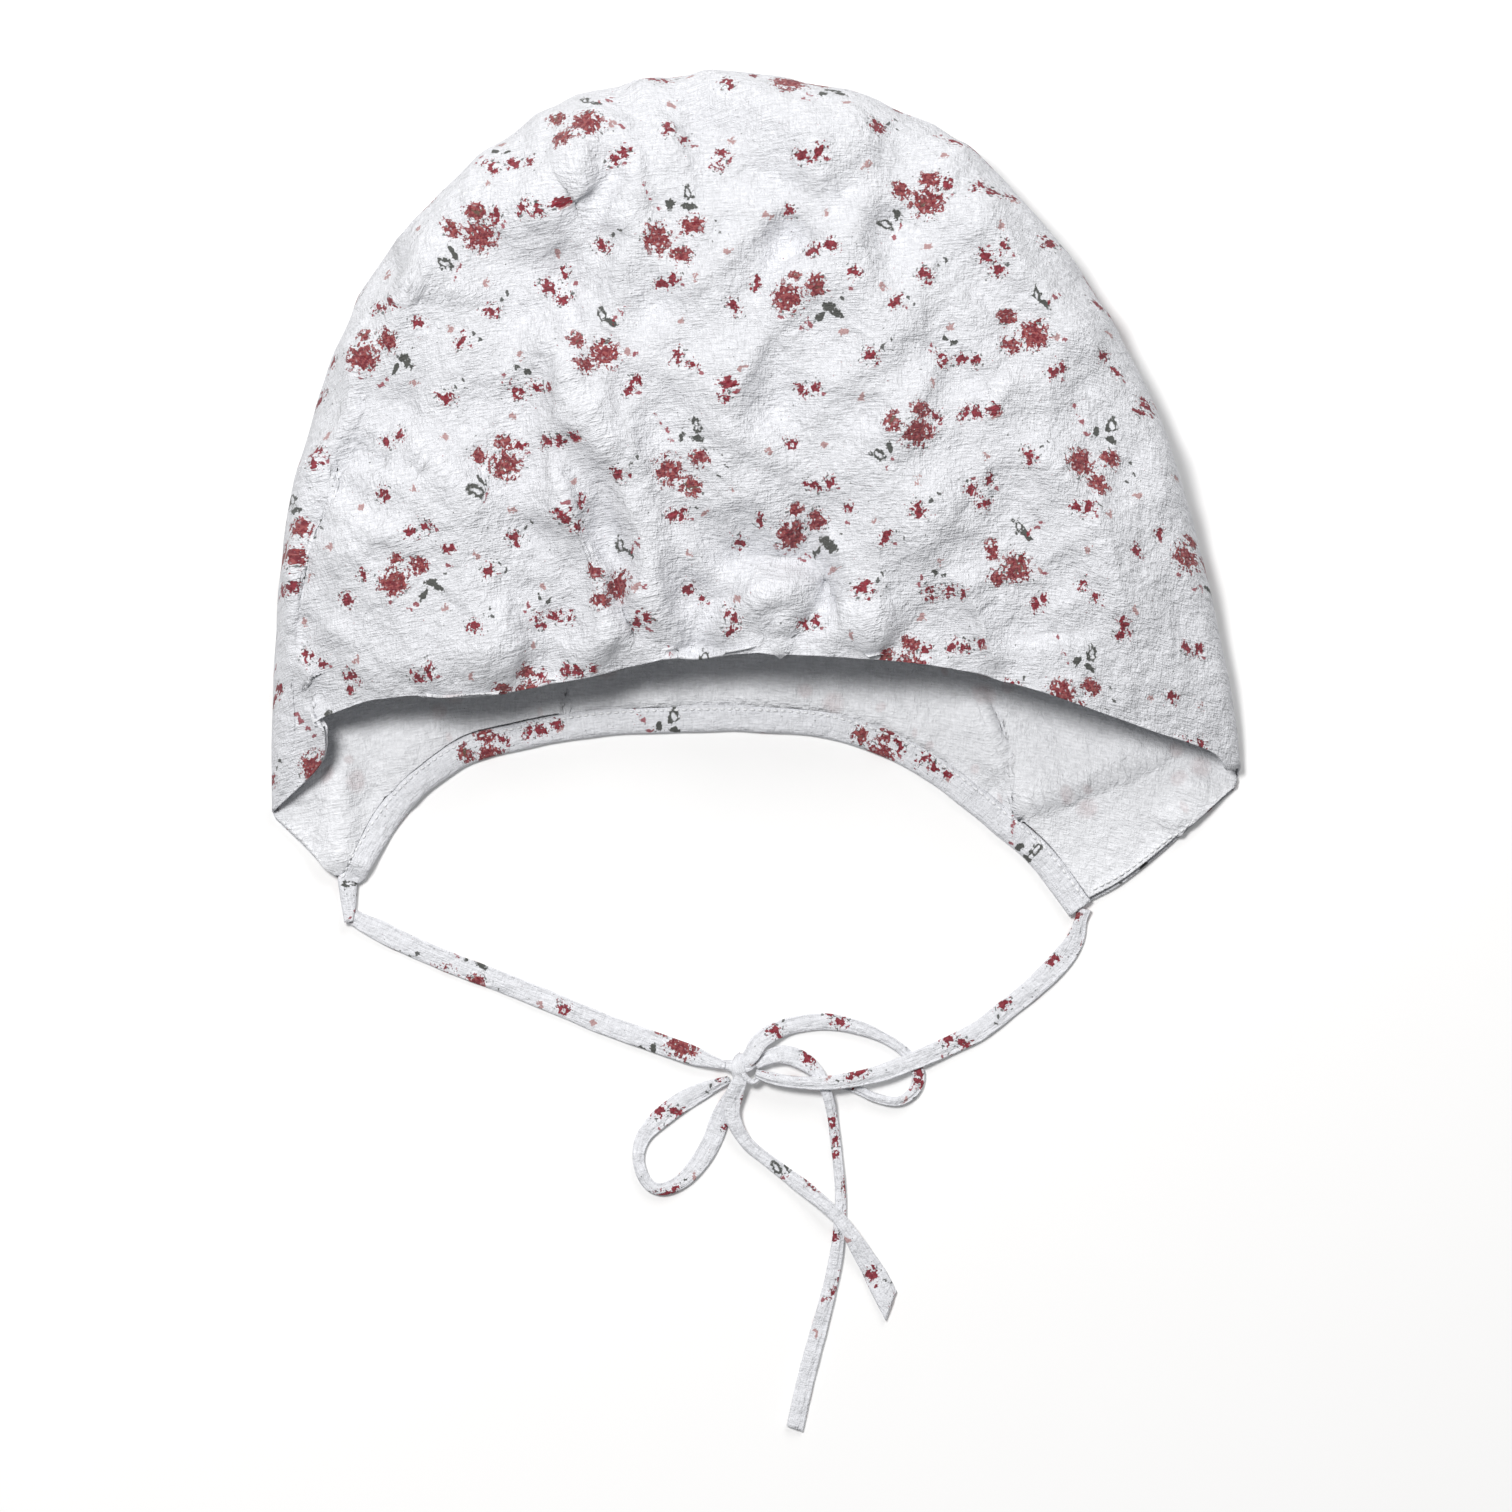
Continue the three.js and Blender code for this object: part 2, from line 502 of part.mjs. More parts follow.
function knotSolid() {
  const profile = KNOT_OUTLINE.map(({ out, up }) => new THREE.Vector2(out * KNOT_RADIUS, up * KNOT_HEIGHT));
  return new THREE.LatheGeometry(profile, KNOT_SIDES).rotateX(Math.PI / 2);
}

function piece(name, geometry, look) {
  const mesh = new THREE.Mesh(geometry, new THREE.MeshStandardMaterial(CLOTHS[look]));
  mesh.name = name;
  return mesh;
}

const bonnet = new THREE.Group();
const liningInset = OUTER_WALL + PIECE_GAP;
bonnet.add(piece('crown_band', bandSolid(0, OUTER_WALL, 0), 'print'));
bonnet.add(piece('back_panel', backSolid(0, OUTER_WALL, 0), 'print'));
bonnet.add(piece('lining_band', bandSolid(liningInset, LINING_WALL, LINING_SET_BACK), 'lining'));
bonnet.add(piece('lining_back', backSolid(liningInset, LINING_WALL, LINING_SET_BACK), 'lining'));
bonnet.add(piece('neck_binding', bindingSolid(), 'print'));

for (const name of Object.keys(ROUTES)) {
  bonnet.add(piece(name, tieSolid(name), 'print'));
}

const knot = piece('bow_knot', knotSolid(), 'print');
knot.position.set(KNOT_CENTRE[0], KNOT_CENTRE[1], 0);
bonnet.add(knot);

export default bonnet;
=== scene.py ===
"""A lined baby bonnet of thin printed cotton. It lies on its back with its ties in a bow."""

import bpy
import numpy as np
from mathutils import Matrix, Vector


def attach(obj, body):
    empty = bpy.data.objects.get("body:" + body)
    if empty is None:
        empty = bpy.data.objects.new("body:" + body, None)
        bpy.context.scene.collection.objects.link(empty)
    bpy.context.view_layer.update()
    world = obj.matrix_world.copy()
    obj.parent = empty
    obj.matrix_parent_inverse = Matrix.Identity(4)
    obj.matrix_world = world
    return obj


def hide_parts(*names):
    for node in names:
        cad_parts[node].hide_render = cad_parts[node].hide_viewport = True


bl_info = {
    "name": "Baby bonnet",
    "version": (1, 0, 0),
    "blender": (4, 5, 0),
    "location": "3D Viewport > Sidebar > Bonnet",
    "description": "Sews a lined and printed baby bonnet with a bound neck edge and ties in a bow",
    "category": "Add Mesh",
}

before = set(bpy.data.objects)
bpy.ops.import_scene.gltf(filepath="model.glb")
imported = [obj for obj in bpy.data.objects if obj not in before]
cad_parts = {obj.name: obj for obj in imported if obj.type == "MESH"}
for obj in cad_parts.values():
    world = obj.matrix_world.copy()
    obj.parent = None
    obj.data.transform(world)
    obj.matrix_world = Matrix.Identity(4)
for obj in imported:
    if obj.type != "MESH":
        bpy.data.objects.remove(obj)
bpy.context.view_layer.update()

# The picture of the bonnet: width of its view, the point it is centred on, and the camera's height
PICTURE_WIDTH = 0.3574
PICTURE_CENTRE = (-0.0001, -0.0605)
CAMERA_HEIGHT = 2.6
SENSOR_WIDTH = 0.036
# Height above the floor where the view is PICTURE_WIDTH wide, and how far the camera sees
PICTURE_HEIGHT = 0.014
FAR_CLIP = 20

# Lights: name, place, side of the square lamp, power
LIGHTS = (
    ("window_light", (-0.4, 0.35, 1.4), 0.35, 21.5),
    ("far_light", (0.6, 1.4, 1.1), 1.0, 14),
)
LIGHT_COLOUR = (1.0, 0.99, 0.98)
LIGHT_AIM = (0, -0.02, 0)
ROOM_COLOUR = (0.97, 0.985, 1.0, 1)
ROOM_STRENGTH = 0.2
# Half the side of the floor, how far it lies below the bonnet, and its own glow
FLOOR_REACH = 6.0
FLOOR_DROP = 0.00005
FLOOR_GLOW = 0.09

# Sections from the left fold corner to the right one. Each runs from the forehead hem,
# over the outer fold, and back underneath to the lower edge.
# x: share of the width, y: share of the depth, heights and rounds: share of the crown's height
SECTION_COLUMNS = (
    "fold_x", "fold_y", "hem_x", "hem_y", "edge_x", "edge_y",
    "hem_z", "top_z", "swell", "fold_z", "round_top", "round_under", "edge_z",
)
SECTIONS = (
    (-0.500, -0.367, -0.4985, -0.3655, -0.4965, -0.376, 0.110, 0.110, 0.00, 0.060, 0.012, 0.020, 0.000),
    (-0.500, -0.324, -0.472, -0.337, -0.466, -0.409, 0.264, 0.236, 0.00, 0.100, 0.111, 0.111, 0.011),
    (-0.499, -0.259, -0.451, -0.308, -0.447, -0.431, 0.389, 0.333, 0.00, 0.128, 0.194, 0.139, 0.017),
    (-0.497, -0.177, -0.451, -0.284, -0.430, -0.447, 0.472, 0.417, 0.00, 0.156, 0.250, 0.167, 0.017),
    (-0.489, -0.077, -0.453, -0.261, -0.418, -0.418, 0.500, 0.472, 0.01, 0.183, 0.306, 0.194, 0.008),
    (-0.472, 0.041, -0.423, -0.246, -0.394, -0.373, 0.528, 0.556, 0.03, 0.206, 0.361, 0.222, 0.000),
    (-0.449, 0.124, -0.387, -0.232, -0.366, -0.334, 0.556, 0.611, 0.04, 0.222, 0.417, 0.250, 0.000),
    (-0.418, 0.212, -0.350, -0.224, -0.334, -0.304, 0.583, 0.639, 0.06, 0.233, 0.444, 0.250, 0.000),
    (-0.382, 0.287, -0.313, -0.232, -0.297, -0.280, 0.583, 0.639, 0.07, 0.244, 0.472, 0.278, 0.000),
    (-0.339, 0.344, -0.269, -0.229, -0.255, -0.268, 0.611, 0.681, 0.08, 0.261, 0.500, 0.278, 0.000),
    (-0.274, 0.412, -0.218, -0.219, -0.214, -0.258, 0.639, 0.722, 0.10, 0.278, 0.556, 0.306, 0.000),
    (-0.197, 0.468, -0.159, -0.206, -0.161, -0.249, 0.667, 0.778, 0.11, 0.292, 0.583, 0.333, 0.000),
    (-0.107, 0.494, -0.091, -0.188, -0.091, -0.245, 0.708, 0.819, 0.11, 0.306, 0.611, 0.333, 0.000),
    (-0.012, 0.500, -0.012, -0.182, -0.012, -0.244, 0.736, 0.833, 0.11, 0.306, 0.611, 0.333, 0.000),
    (0.096, 0.482, 0.086, -0.185, 0.076, -0.252, 0.750, 0.819, 0.11, 0.306, 0.611, 0.333, 0.000),
    (0.194, 0.438, 0.178, -0.195, 0.153, -0.282, 0.750, 0.806, 0.10, 0.292, 0.583, 0.306, 0.000),
    (0.261, 0.365, 0.235, -0.209, 0.206, -0.320, 0.722, 0.778, 0.08, 0.278, 0.556, 0.306, 0.000),
    (0.318, 0.286, 0.287, -0.224, 0.256, -0.365, 0.694, 0.750, 0.07, 0.267, 0.528, 0.278, 0.000),
    (0.380, 0.184, 0.338, -0.244, 0.302, -0.412, 0.639, 0.694, 0.06, 0.250, 0.472, 0.250, 0.000),
    (0.421, 0.080, 0.375, -0.259, 0.343, -0.474, 0.569, 0.611, 0.04, 0.222, 0.417, 0.222, 0.008),
    (0.453, -0.035, 0.410, -0.273, 0.376, -0.453, 0.486, 0.500, 0.03, 0.194, 0.333, 0.194, 0.017),
    (0.477, -0.153, 0.446, -0.286, 0.415, -0.418, 0.389, 0.389, 0.01, 0.161, 0.250, 0.167, 0.017),
    (0.493, -0.247, 0.473, -0.299, 0.456, -0.377, 0.278, 0.264, 0.00, 0.117, 0.153, 0.125, 0.008),
    (0.500, -0.315, 0.487, -0.318, 0.494, -0.340, 0.167, 0.167, 0.00, 0.083, 0.083, 0.083, 0.000),
)
LAST = len(SECTIONS) - 1
LEFT_CHIN = 3
RIGHT_CHIN = 19

# Share of the way from the forehead hem round to the lower edge where each stretch ends
TOP_ENDS = 0.5
FOLD_AT = 0.56
ROUND_ENDS = 0.62

# Folds of the upper layer, in millimetres: name, rise before FOLD_GAIN, reach to the left and
# to the right of the path, sharpness, and the path from its lower or left end
TOP_FOLDS = (
    ("left billow", 4.6, 27, 12, 2,
     [(-65.4, -45.4), (-67.7, -23.6), (-77.2, -2.4), (-86.6, 14.2)]),
    ("left side valley", -3.0, 3.4, 5.5, 1.4,
     [(-107.2, -44.9), (-107.9, -33.1), (-107.9, -23.6), (-104.4, -9.5), (-97.3, 4.7), (-90.9, 14.2)]),
    ("left side ridge", 1.8, 2.6, 3.4, 1.7,
     [(-103.2, -47.3), (-106, -43.5), (-108.4, -35.7), (-109.1, -27.9), (-108.6, -21.7), (-111.2, -14.2),
      (-111.7, -4.7)]),
    ("left shoulder lap", 4.4, 1.4, 12, 1.5,
     [(-83.3, 47.3), (-82.4, 54.4), (-81.2, 60.8), (-78.6, 67.4)]),
    ("first gather ridge", 3.8, 7, 2.8, 1.4,
     [(-33.9, -40.7), (-36.1, -23.4), (-39.4, -13.4), (-44.1, -2.5), (-50.5, 13.9)]),
    ("gather crease", -3.4, 1.9, 3.6, 1.3,
     [(-27.5, -36.6), (-31.0, -27.7), (-33.6, -18.7), (-35.4, -8.2), (-36.8, 0.8), (-39.4, 9.1)]),
    ("second gather ridge", 3.8, 5.2, 4.4, 1.5,
     [(-19, -36.6), (-22.1, -27.7), (-25.0, -17.7), (-28.5, -7.2), (-37, 13.8), (-45.3, 30.7), (-50, 42.6)]),
    ("hollow above the hem", -4.8, 7, 11, 1.9,
     [(-13.7, -38.6), (-14, -26), (-8.8, -15.4)]),
    ("curved dip", -5.4, 10, 3.4, 1.5,
     [(-12.3, -17.2), (-5.3, -14.2), (1.3, -13.3), (7.9, -14.2), (13.1, -18.3), (17.4, -23.7),
      (22.1, -29.4)]),
    ("mound at the hem", 5.0, 2.9, 12, 1.6,
     [(-12.9, -35.6), (-6.7, -27.5), (2.0, -22.6), (10.4, -18.6), (16.4, -24.1), (17.4, -31)]),
    ("mound pleat", -1.4, 1.4, 2, 1.3,
     [(0.4, -26.5), (5.6, -25.1), (10.3, -24.6)]),
    ("mound dent", -2.0, 1.6, 2.4, 1.3,
     [(4.6, -34), (0.1, -30.3), (-1.2, -27)]),
    ("right mound dip", -3.2, 4.5, 3.2, 1.3,
     [(20.3, -27.1), (14.5, -13.2), (9.3, -2.8)]),
    ("slanting ridge", 3.6, 3.2, 5.5, 1.4,
     [(30.1, -35.5), (24.9, -23.6), (20.2, -14.2), (13.2, -3.2)]),
    ("centre ridge", 3.0, 13, 9, 1.8,
     [(35.1, -23.6), (36.8, 0), (33.5, 23.6), (24.9, 47.3), (17.4, 61.5), (9.8, 76.1)]),
    ("centre dip", -2.0, 5, 5, 1.7,
     [(11.7, 56.3), (7, 69.5), (0.4, 78.5)]),
    ("right crown lap", 2.7, 14, 2.2, 1.4,
     [(85.9, 28.8), (77.7, 40.2), (67, 53.9), (54, 70.9), (46.9, 83.2)]),
    ("right slant ridge", 1.9, 4.5, 6, 1.4,
     [(88.8, -35.5), (83.6, -14.2), (78.8, -2.4), (69.4, 8.3), (59.9, 14.2), (50.9, 23.2)]),
    ("right slant branch", 1.2, 4, 6, 1.5,
     [(50.9, 21.7), (62.3, 27.9), (77.4, 25.5)]),
    ("right hollow", -1.7, 9, 9, 1.8,
     [(68.4, -35.5), (67.5, -23.6), (71.7, -11.8)]),
    ("right hem ridge", 3.4, 5, 3.0, 1.4,
     [(57.6, -42.6), (52.4, -28.4), (49.1, -20.8), (43.9, -13.2)]),
    ("left diagonal fold", 1.7, 3, 3.5, 1.3,
     [(-65.8, -1.9), (-76.7, 9), (-84.3, 17)]),
    ("left diagonal dip", -2.1, 4, 4, 1.3,
     [(-101.5, 5.2), (-94.4, 9.9), (-90.7, 16.1)]),
    ("left small fold a", -1.2, 1.8, 2.2, 1.3,
     [(-86.2, 4.3), (-88.8, 10.9)]),
    ("left small fold b", -1.2, 1.8, 2.2, 1.3,
     [(-76.9, 4.7), (-81.4, 9.5)]),
    ("left upper dip", -2.2, 6, 7, 1.8,
     [(-95.6, 24.1), (-84.3, 23.6), (-74.8, 21.7)]),
    ("crown gather a", 1.3, 3, 2.6, 1.4,
     [(-15.7, 56.3), (-17.6, 78), (-20, 95.5)]),
    ("crown gather b", -1.3, 2.6, 3, 1.4,
     [(-24.7, 63.4), (-26.1, 82.7), (-27.5, 94.6)]),
    ("crown gather c", 1.3, 3.5, 3, 1.4,
     [(-32.7, 61.5), (-30.9, 78), (-33.2, 92.2)]),
    ("crown dip left", -2.2, 6, 6, 1.8,
     [(-65.4, 71.9), (-55.9, 80.4), (-45, 87)]),
    ("crown dip", -1.8, 5, 6, 1.8,
     [(-46.5, 67.6), (-37, 72.8), (-25.2, 74.2)]),
    ("centre soft gather a", 1.4, 5, 4, 1.5,
     [(-3.4, 7.1), (-6.3, 28.4), (-9.6, 59.1)]),
    ("centre soft gather b", -1.3, 4, 5, 1.5,
     [(10.3, 7.1), (3.7, 28.4), (0.8, 49.6)]),
    ("right facet a", 1.4, 6, 4, 1.4,
     [(59.9, 40.2), (48.1, 47.3), (33.9, 56.7)]),
    ("right facet b", -1.5, 5, 5, 1.5,
     [(57.6, 23.6), (43.4, 33.1), (35.1, 40.2)]),
    ("hem gather a", 1.3, 3.5, 3, 1.4,
     [(-59.2, -45.9), (-58.7, -33.1), (-61.1, -21.3)]),
    ("hem gather b", -1.6, 3, 3, 1.3,
     [(-49.3, -44.4), (-48.3, -33.1), (-49.3, -23.6)]),
)

# Folds of the lower layer that lift it off the floor, in the same columns
UNDER_FOLDS = (
    ("left chin ridge", 2.4, 3.5, 3.5, 1.7,
     [(-98.9, -88.6), (-99.4, -82.7), (-99.4, -68.6), (-98.5, -57.9)]),
    ("left corner wave", 1.4, 3.5, 4, 1.8,
     [(-109.8, -70.9), (-107.9, -63.8), (-106.7, -56.7)]),
    ("left neck wave", 1.3, 5, 5, 1.8,
     [(-90.2, -68.6), (-81.9, -56.7), (-74.8, -48.7)]),
    ("right chin pleat", 3.4, 12, 1.6, 1.6,
     [(58.5, -72.8), (71.7, -68.6), (85.9, -63.4), (103, -56.7)]),
    ("right neck wave", 1.8, 5, 2.4, 1.5,
     [(59.5, -66.2), (54, -54.4), (48.6, -44.9)]),
    ("right small crease", -0.9, 2, 2.4, 1.3,
     [(74.1, -57.9), (67, -51.1), (60.4, -45.4)]),
    ("right corner wave", 1.3, 4, 4, 1.8,
     [(97.3, -78), (102.5, -70.9), (106.3, -63.8)]),
    ("seam left", 0.6, 0.9, 0.9, 1.6,
     [(-45, -50.1), (-46.5, -46.8), (-47.4, -43.5)]),
    ("seam right", 0.8, 1.1, 0.9, 1.6,
     [(61.1, -63.1), (56.6, -56.5), (53.9, -49.5), (51.9, -43)]),
)

# What every fold's rise is multiplied by, and how fast the folds start and end along their paths
FOLD_GAIN = 1.35
FOLD_START = 6
FOLD_END = 3

# Unevenness of cotton that has been washed and folded: height, distance apart, seed, squeeze
# across and down, and whether it stands in sharp ridges
CRUMPLES = (
    (0.0042, 0.03, 1, 1, 1, False),
    (0.0052, 0.024, 2, 1, 0.7, True),
    (0.0020, 0.013, 3, 0.8, 1, False),
    (0.0031, 0.0135, 5, 1, 0.8, True),
    (0.0008, 0.007, 4, 1, 1, False),
)
RIDGE_LEVEL = 0.3
# The crumples' own lines wander this far, over this distance, with these seeds
WANDER = 0.008
WANDER_SIZE = 0.04
WANDER_SEEDS = (11, 12)
# Share of the crumples that is lost at the outer fold, and sections over which they fade in
# from the corners
LOST_AT_FOLD = 0.75
CORNER_FADE = 5.0
# Added at the crown and lost at the right side: share, where it starts, and over what distance
CROWN_CRUMPLED = (0.5, 0.03, 0.04)
RIGHT_CALMED = (0.45, 0.02, 0.05)

# Fineness of the outer band and of its lining: spacing of the columns, and rows on top, in the
# round of the fold, under it, and on to the lower edge. Then the columns and rows of the back
# panel and of its lining.
BAND_SPACING = 0.0023
BAND_ROWS = (92, 14, 10, 22)
LINING_SPACING = 0.0025
LINING_ROWS = (56, 10, 10, 46)
BACK_COLUMNS = 100
BACK_ROWS = 34
BACK_LINING_COLUMNS = 90
BACK_LINING_ROWS = 40
# Width of the row that turns over at each edge, and the most that it and the set-back may take
RIM = 0.0002
MOST_RIM = 0.05
MOST_SET_BACK = 0.2
# How far the outer back panel ends short of the neck edge at its corners
BACK_CORNER = 0.0003

# Lining: set back from the hem, lapped over at the back seam, and set back from the neck edge
LINING_SET_BACK = 0.0012
LINING_LAP = 0.0004
BACK_LINING_LAP = 0.0003
BACK_LINING_SET_BACK = 0.0004
BACK_LINING_CORNER = 0.0003
# The back's lining lies this much nearer to the outer cloth, so its lap is a step
LAP_STEP = 0.0002
# How far the lining hangs below the top layer, and the shares of the way round over which it does
SLACK = 0.0022
SLACK_STARTS = 0.08
SLACK_ENDS = 0.05
# Waves of the lining on the floor, soft ones and sharp ones: height, distance apart, seed and
# level. They set in over WAVES_START, a share of the way round.
LINING_WAVES = (0.0009, 0.015, 5, 0.4)
LINING_PLEATS = (0.0007, 0.0085, 6, 0.4)
WAVES_START = 0.1

# Seam round the back panel: share of half its span, share of the panel's height
BACK_SEAM_FROM = 10.3
BACK_SEAM_TO = 17.3
BACK_SEAM = (
    (-1.0, 0.0), (-0.94, 0.28), (-0.85, 0.58), (-0.66, 0.83), (-0.35, 0.97), (0.0, 1.0),
    (0.3, 0.96), (0.52, 0.8), (0.62, 0.52), (0.7, 0.32), (0.84, 0.19), (0.94, 0.11), (1.0, 0.0),
)

# Routes of the ties, loops and free ends: x, y, z of the tape's middle line, and its width
ROUTES = {
    "tie_left": [
        (-0.0966, -0.0982, 0.0011, 0.0036), (-0.0928, -0.1004, 0.0009, 0.0042),
        (-0.0896, -0.1019, 0.0007, 0.005),
        (-0.085, -0.1043, 0.00065, 0.005), (-0.0725, -0.1097, 0.00065, 0.0049),
        (-0.0606, -0.1142, 0.00065, 0.0049), (-0.0488, -0.1189, 0.00065, 0.0049),
        (-0.037, -0.1239, 0.00065, 0.0049), (-0.0252, -0.1281, 0.0009, 0.0049),
        (-0.0157, -0.1314, 0.0016, 0.0046), (-0.0105, -0.1331, 0.0022, 0.003),
        (-0.0072, -0.134, 0.0024, 0.0018),
    ],
    "tie_right": [
        (0.0778, -0.0968, 0.0012, 0.0036), (0.077, -0.0996, 0.0009, 0.0029),
        (0.0758, -0.104, 0.0007, 0.0044),
        (0.0732, -0.108, 0.00065, 0.0052), (0.0694, -0.1121, 0.00065, 0.0052),
        (0.0647, -0.1165, 0.00065, 0.0049), (0.0587, -0.1213, 0.00065, 0.0048),
        (0.0528, -0.1258, 0.00065, 0.0048), (0.0469, -0.1288, 0.001, 0.0046),
        (0.041, -0.1314, 0.0018, 0.0044), (0.0351, -0.1338, 0.0024, 0.0042),
        (0.0292, -0.1359, 0.003, 0.004), (0.0228, -0.1373, 0.0037, 0.0037),
        (0.0162, -0.1381, 0.004, 0.0034), (0.0091, -0.1379, 0.0039, 0.0028),
        (0.0037, -0.1372, 0.0037, 0.0024), (-0.0001, -0.136, 0.0035, 0.0018),
    ],
    "bow_loop_left": [
        (-0.0065, -0.1373, 0.00065, 0.0018), (-0.0096, -0.1386, 0.00065, 0.0028),
        (-0.0134, -0.1404, 0.00065, 0.0044), (-0.0181, -0.143, 0.00065, 0.0049),
        (-0.0233, -0.147, 0.00065, 0.0046), (-0.0271, -0.1515, 0.00065, 0.0034),
        (-0.028, -0.1567, 0.00065, 0.0027), (-0.0261, -0.1617, 0.00065, 0.0028),
        (-0.0226, -0.1634, 0.00065, 0.003), (-0.0178, -0.1615, 0.00065, 0.0036),
        (-0.0136, -0.157, 0.00065, 0.0043), (-0.0105, -0.1518, 0.00065, 0.0046),
        (-0.0084, -0.1461, 0.00065, 0.0044), (-0.0063, -0.1414, 0.00065, 0.0032),
        (-0.0045, -0.1385, 0.00065, 0.0018),
    ],
    "bow_loop_right": [
        (-0.0034, -0.1342, 0.0034, 0.0030), (-0.0012, -0.1315, 0.0037, 0.0038),
        (0.0008, -0.1283, 0.0033, 0.0042),
        (0.0046, -0.1258, 0.0018, 0.0042), (0.0096, -0.1243, 0.0008, 0.004),
        (0.0169, -0.1236, 0.00065, 0.0039), (0.0245, -0.1251, 0.00065, 0.0032),
        (0.0311, -0.1279, 0.00065, 0.0025), (0.0358, -0.1314, 0.00065, 0.0026),
        (0.0384, -0.1357, 0.00065, 0.0031), (0.0375, -0.1399, 0.00065, 0.0028),
        (0.0337, -0.1425, 0.00065, 0.0022), (0.0282, -0.1416, 0.00065, 0.0022),
        (0.0223, -0.139, 0.00065, 0.0023), (0.0155, -0.1381, 0.00065, 0.0024),
        (0.0079, -0.1376, 0.00065, 0.0024), (0.0032, -0.1366, 0.00065, 0.0022),
        (-0.0002, -0.1357, 0.00065, 0.0018),
    ],
    "tie_end_left": [
        (-0.0036, -0.1368, 0.0036, 0.0034), (-0.0053, -0.1411, 0.003, 0.0042),
        (-0.0058, -0.1447, 0.0024, 0.0038), (-0.0048, -0.1485, 0.0018, 0.0034),
        (-0.002, -0.1527, 0.0012, 0.0031), (0.002, -0.156, 0.0009, 0.003),
        (0.0067, -0.1596, 0.0009, 0.0033), (0.0117, -0.1634, 0.0015, 0.0037),
        (0.016, -0.1669, 0.0022, 0.0034), (0.0197, -0.1704, 0.0024, 0.0032),
        (0.0226, -0.1745, 0.0022, 0.0038), (0.0252, -0.1787, 0.0014, 0.0046),
        (0.0278, -0.183, 0.00065, 0.0052), (0.0301, -0.1875, 0.00065, 0.0056),
        (0.032, -0.1912, 0.00065, 0.0056),
    ],
    "tie_end_right": [
        (-0.0002, -0.1339, 0.0021, 0.0022), (0.0032, -0.132, 0.0021, 0.0036),
        (0.007, -0.1314, 0.0021, 0.0044), (0.011, -0.1329, 0.0021, 0.0044),
        (0.014, -0.1353, 0.00225, 0.0036), (0.0157, -0.1382, 0.00235, 0.0028),
        (0.0171, -0.1418, 0.0022, 0.0025), (0.0181, -0.1466, 0.0011, 0.0024),
        (0.0188, -0.1525, 0.00065, 0.0024), (0.0195, -0.1589, 0.00065, 0.0024),
        (0.02, -0.1655, 0.00065, 0.0026), (0.0197, -0.1726, 0.00065, 0.0029),
        (0.0188, -0.1801, 0.00065, 0.0032), (0.0171, -0.1882, 0.00065, 0.0035),
        (0.015, -0.1962, 0.00065, 0.0038), (0.0129, -0.2038, 0.00065, 0.004),
        (0.011, -0.2116, 0.00065, 0.0041), (0.0091, -0.2203, 0.00065, 0.0041),
    ],
}
# Facts of each: length, what its far end is, and where its print starts on the chart
CORDS = {
    "tie_left": (0.095, "knot", (179, 132)),
    "tie_right": (0.091, "knot", (-1, 192)),
    "bow_loop_left": (0.072, "knot", (122, 192)),
    "bow_loop_right": (0.091, "knot", (80, 201)),
    "tie_end_left": (0.068, "bare", (-19, 148)),
    "tie_end_right": (0.104, "bare", (25, 56)),
}

# Turns of the knot: route as in ROUTES, and where its print starts on the chart
KNOT_TURNS = (
    (((-0.0082, -0.1338, 0.0014, 0.002), (-0.0064, -0.1339, 0.0032, 0.0026),
      (-0.0045, -0.1343, 0.0038, 0.003), (-0.0024, -0.1341, 0.0036, 0.003),
      (-0.0008, -0.1334, 0.0024, 0.0026)), (60, 30)),
    (((-0.0036, -0.1374, 0.0036, 0.0034), (-0.0042, -0.1355, 0.0042, 0.0034),
      (-0.0044, -0.1338, 0.0041, 0.003), (-0.0042, -0.1324, 0.003, 0.0024),
      (-0.0036, -0.1316, 0.0012, 0.0018)), (300, 20)),
    (((-0.0039, -0.1343, 0.0036, 0.0012), (-0.0028, -0.1364, 0.004, 0.0013),
      (-0.0011, -0.1378, 0.0036, 0.0013), (0.0006, -0.137, 0.0032, 0.0012),
      (0.0013, -0.1359, 0.0022, 0.001)), (20, 70)),
)
# Rings along a turn, corners of a ring, and thickness of the tape in the knot
KNOT_RINGS = 22
KNOT_SIDES = 12
KNOT_TAPE_THICKNESS = 0.0008

# Tapes: width laid flat, distance between rings, corners of a ring, and how squarely the sides
# and the top of a ring are rounded
RING_STEP = 0.0007
TAPE_SIDES = 24
SIDE_ROUNDING = 0.7
TOP_ROUNDING = 0.55
# Groove beside the sewn edge: depth and place as shares of the tape, and its half width
GROOVE_DEPTH = 0.3
GROOVE_AT = 0.3
GROOVE_WIDTH = 0.07
# A tape narrower than this is rolled up and so thicker, fully so when it is ROLLED_OVER less
ROLLED_BELOW = 0.0046
ROLLED_OVER = 0.0025
ROLLED_THICKER = 0.9
# Unevenness of a tape along its length: amount, distance apart and seed
TAPE_UNEVEN = (0.05, 0.006, 21)
TAPE_TILT = (0.24, 0.016, 22)
TAPE_SWELL = (0.12, 0.004, 23)
# Slant of the cut ends, over this length: the left end has the long slant
CUT_LENGTH = 0.006
LEFT_CUT = -0.9
RIGHT_CUT = 0.15
# Least height of a tape above the floor
ABOVE_FLOOR = 0.00004

# Binding: places along the neck edge, steps of the tab beyond the left chin, how far the tab
# runs across and down, and where its print starts on the chart
BINDING_STEPS = 400
TAB_STEPS = 14
TAB_RUN = (0.0013, -0.0102)
BINDING_CHART_START = (281, 108)
# How many times the binding's direction is evened out with its neighbours'
SMOOTHING = 6
# Rings over which the tab widens, with its width at the first ones
TAB_WIDENS = 26
TAB_WIDTHS = ((0, 0.0019), (5, 0.003))
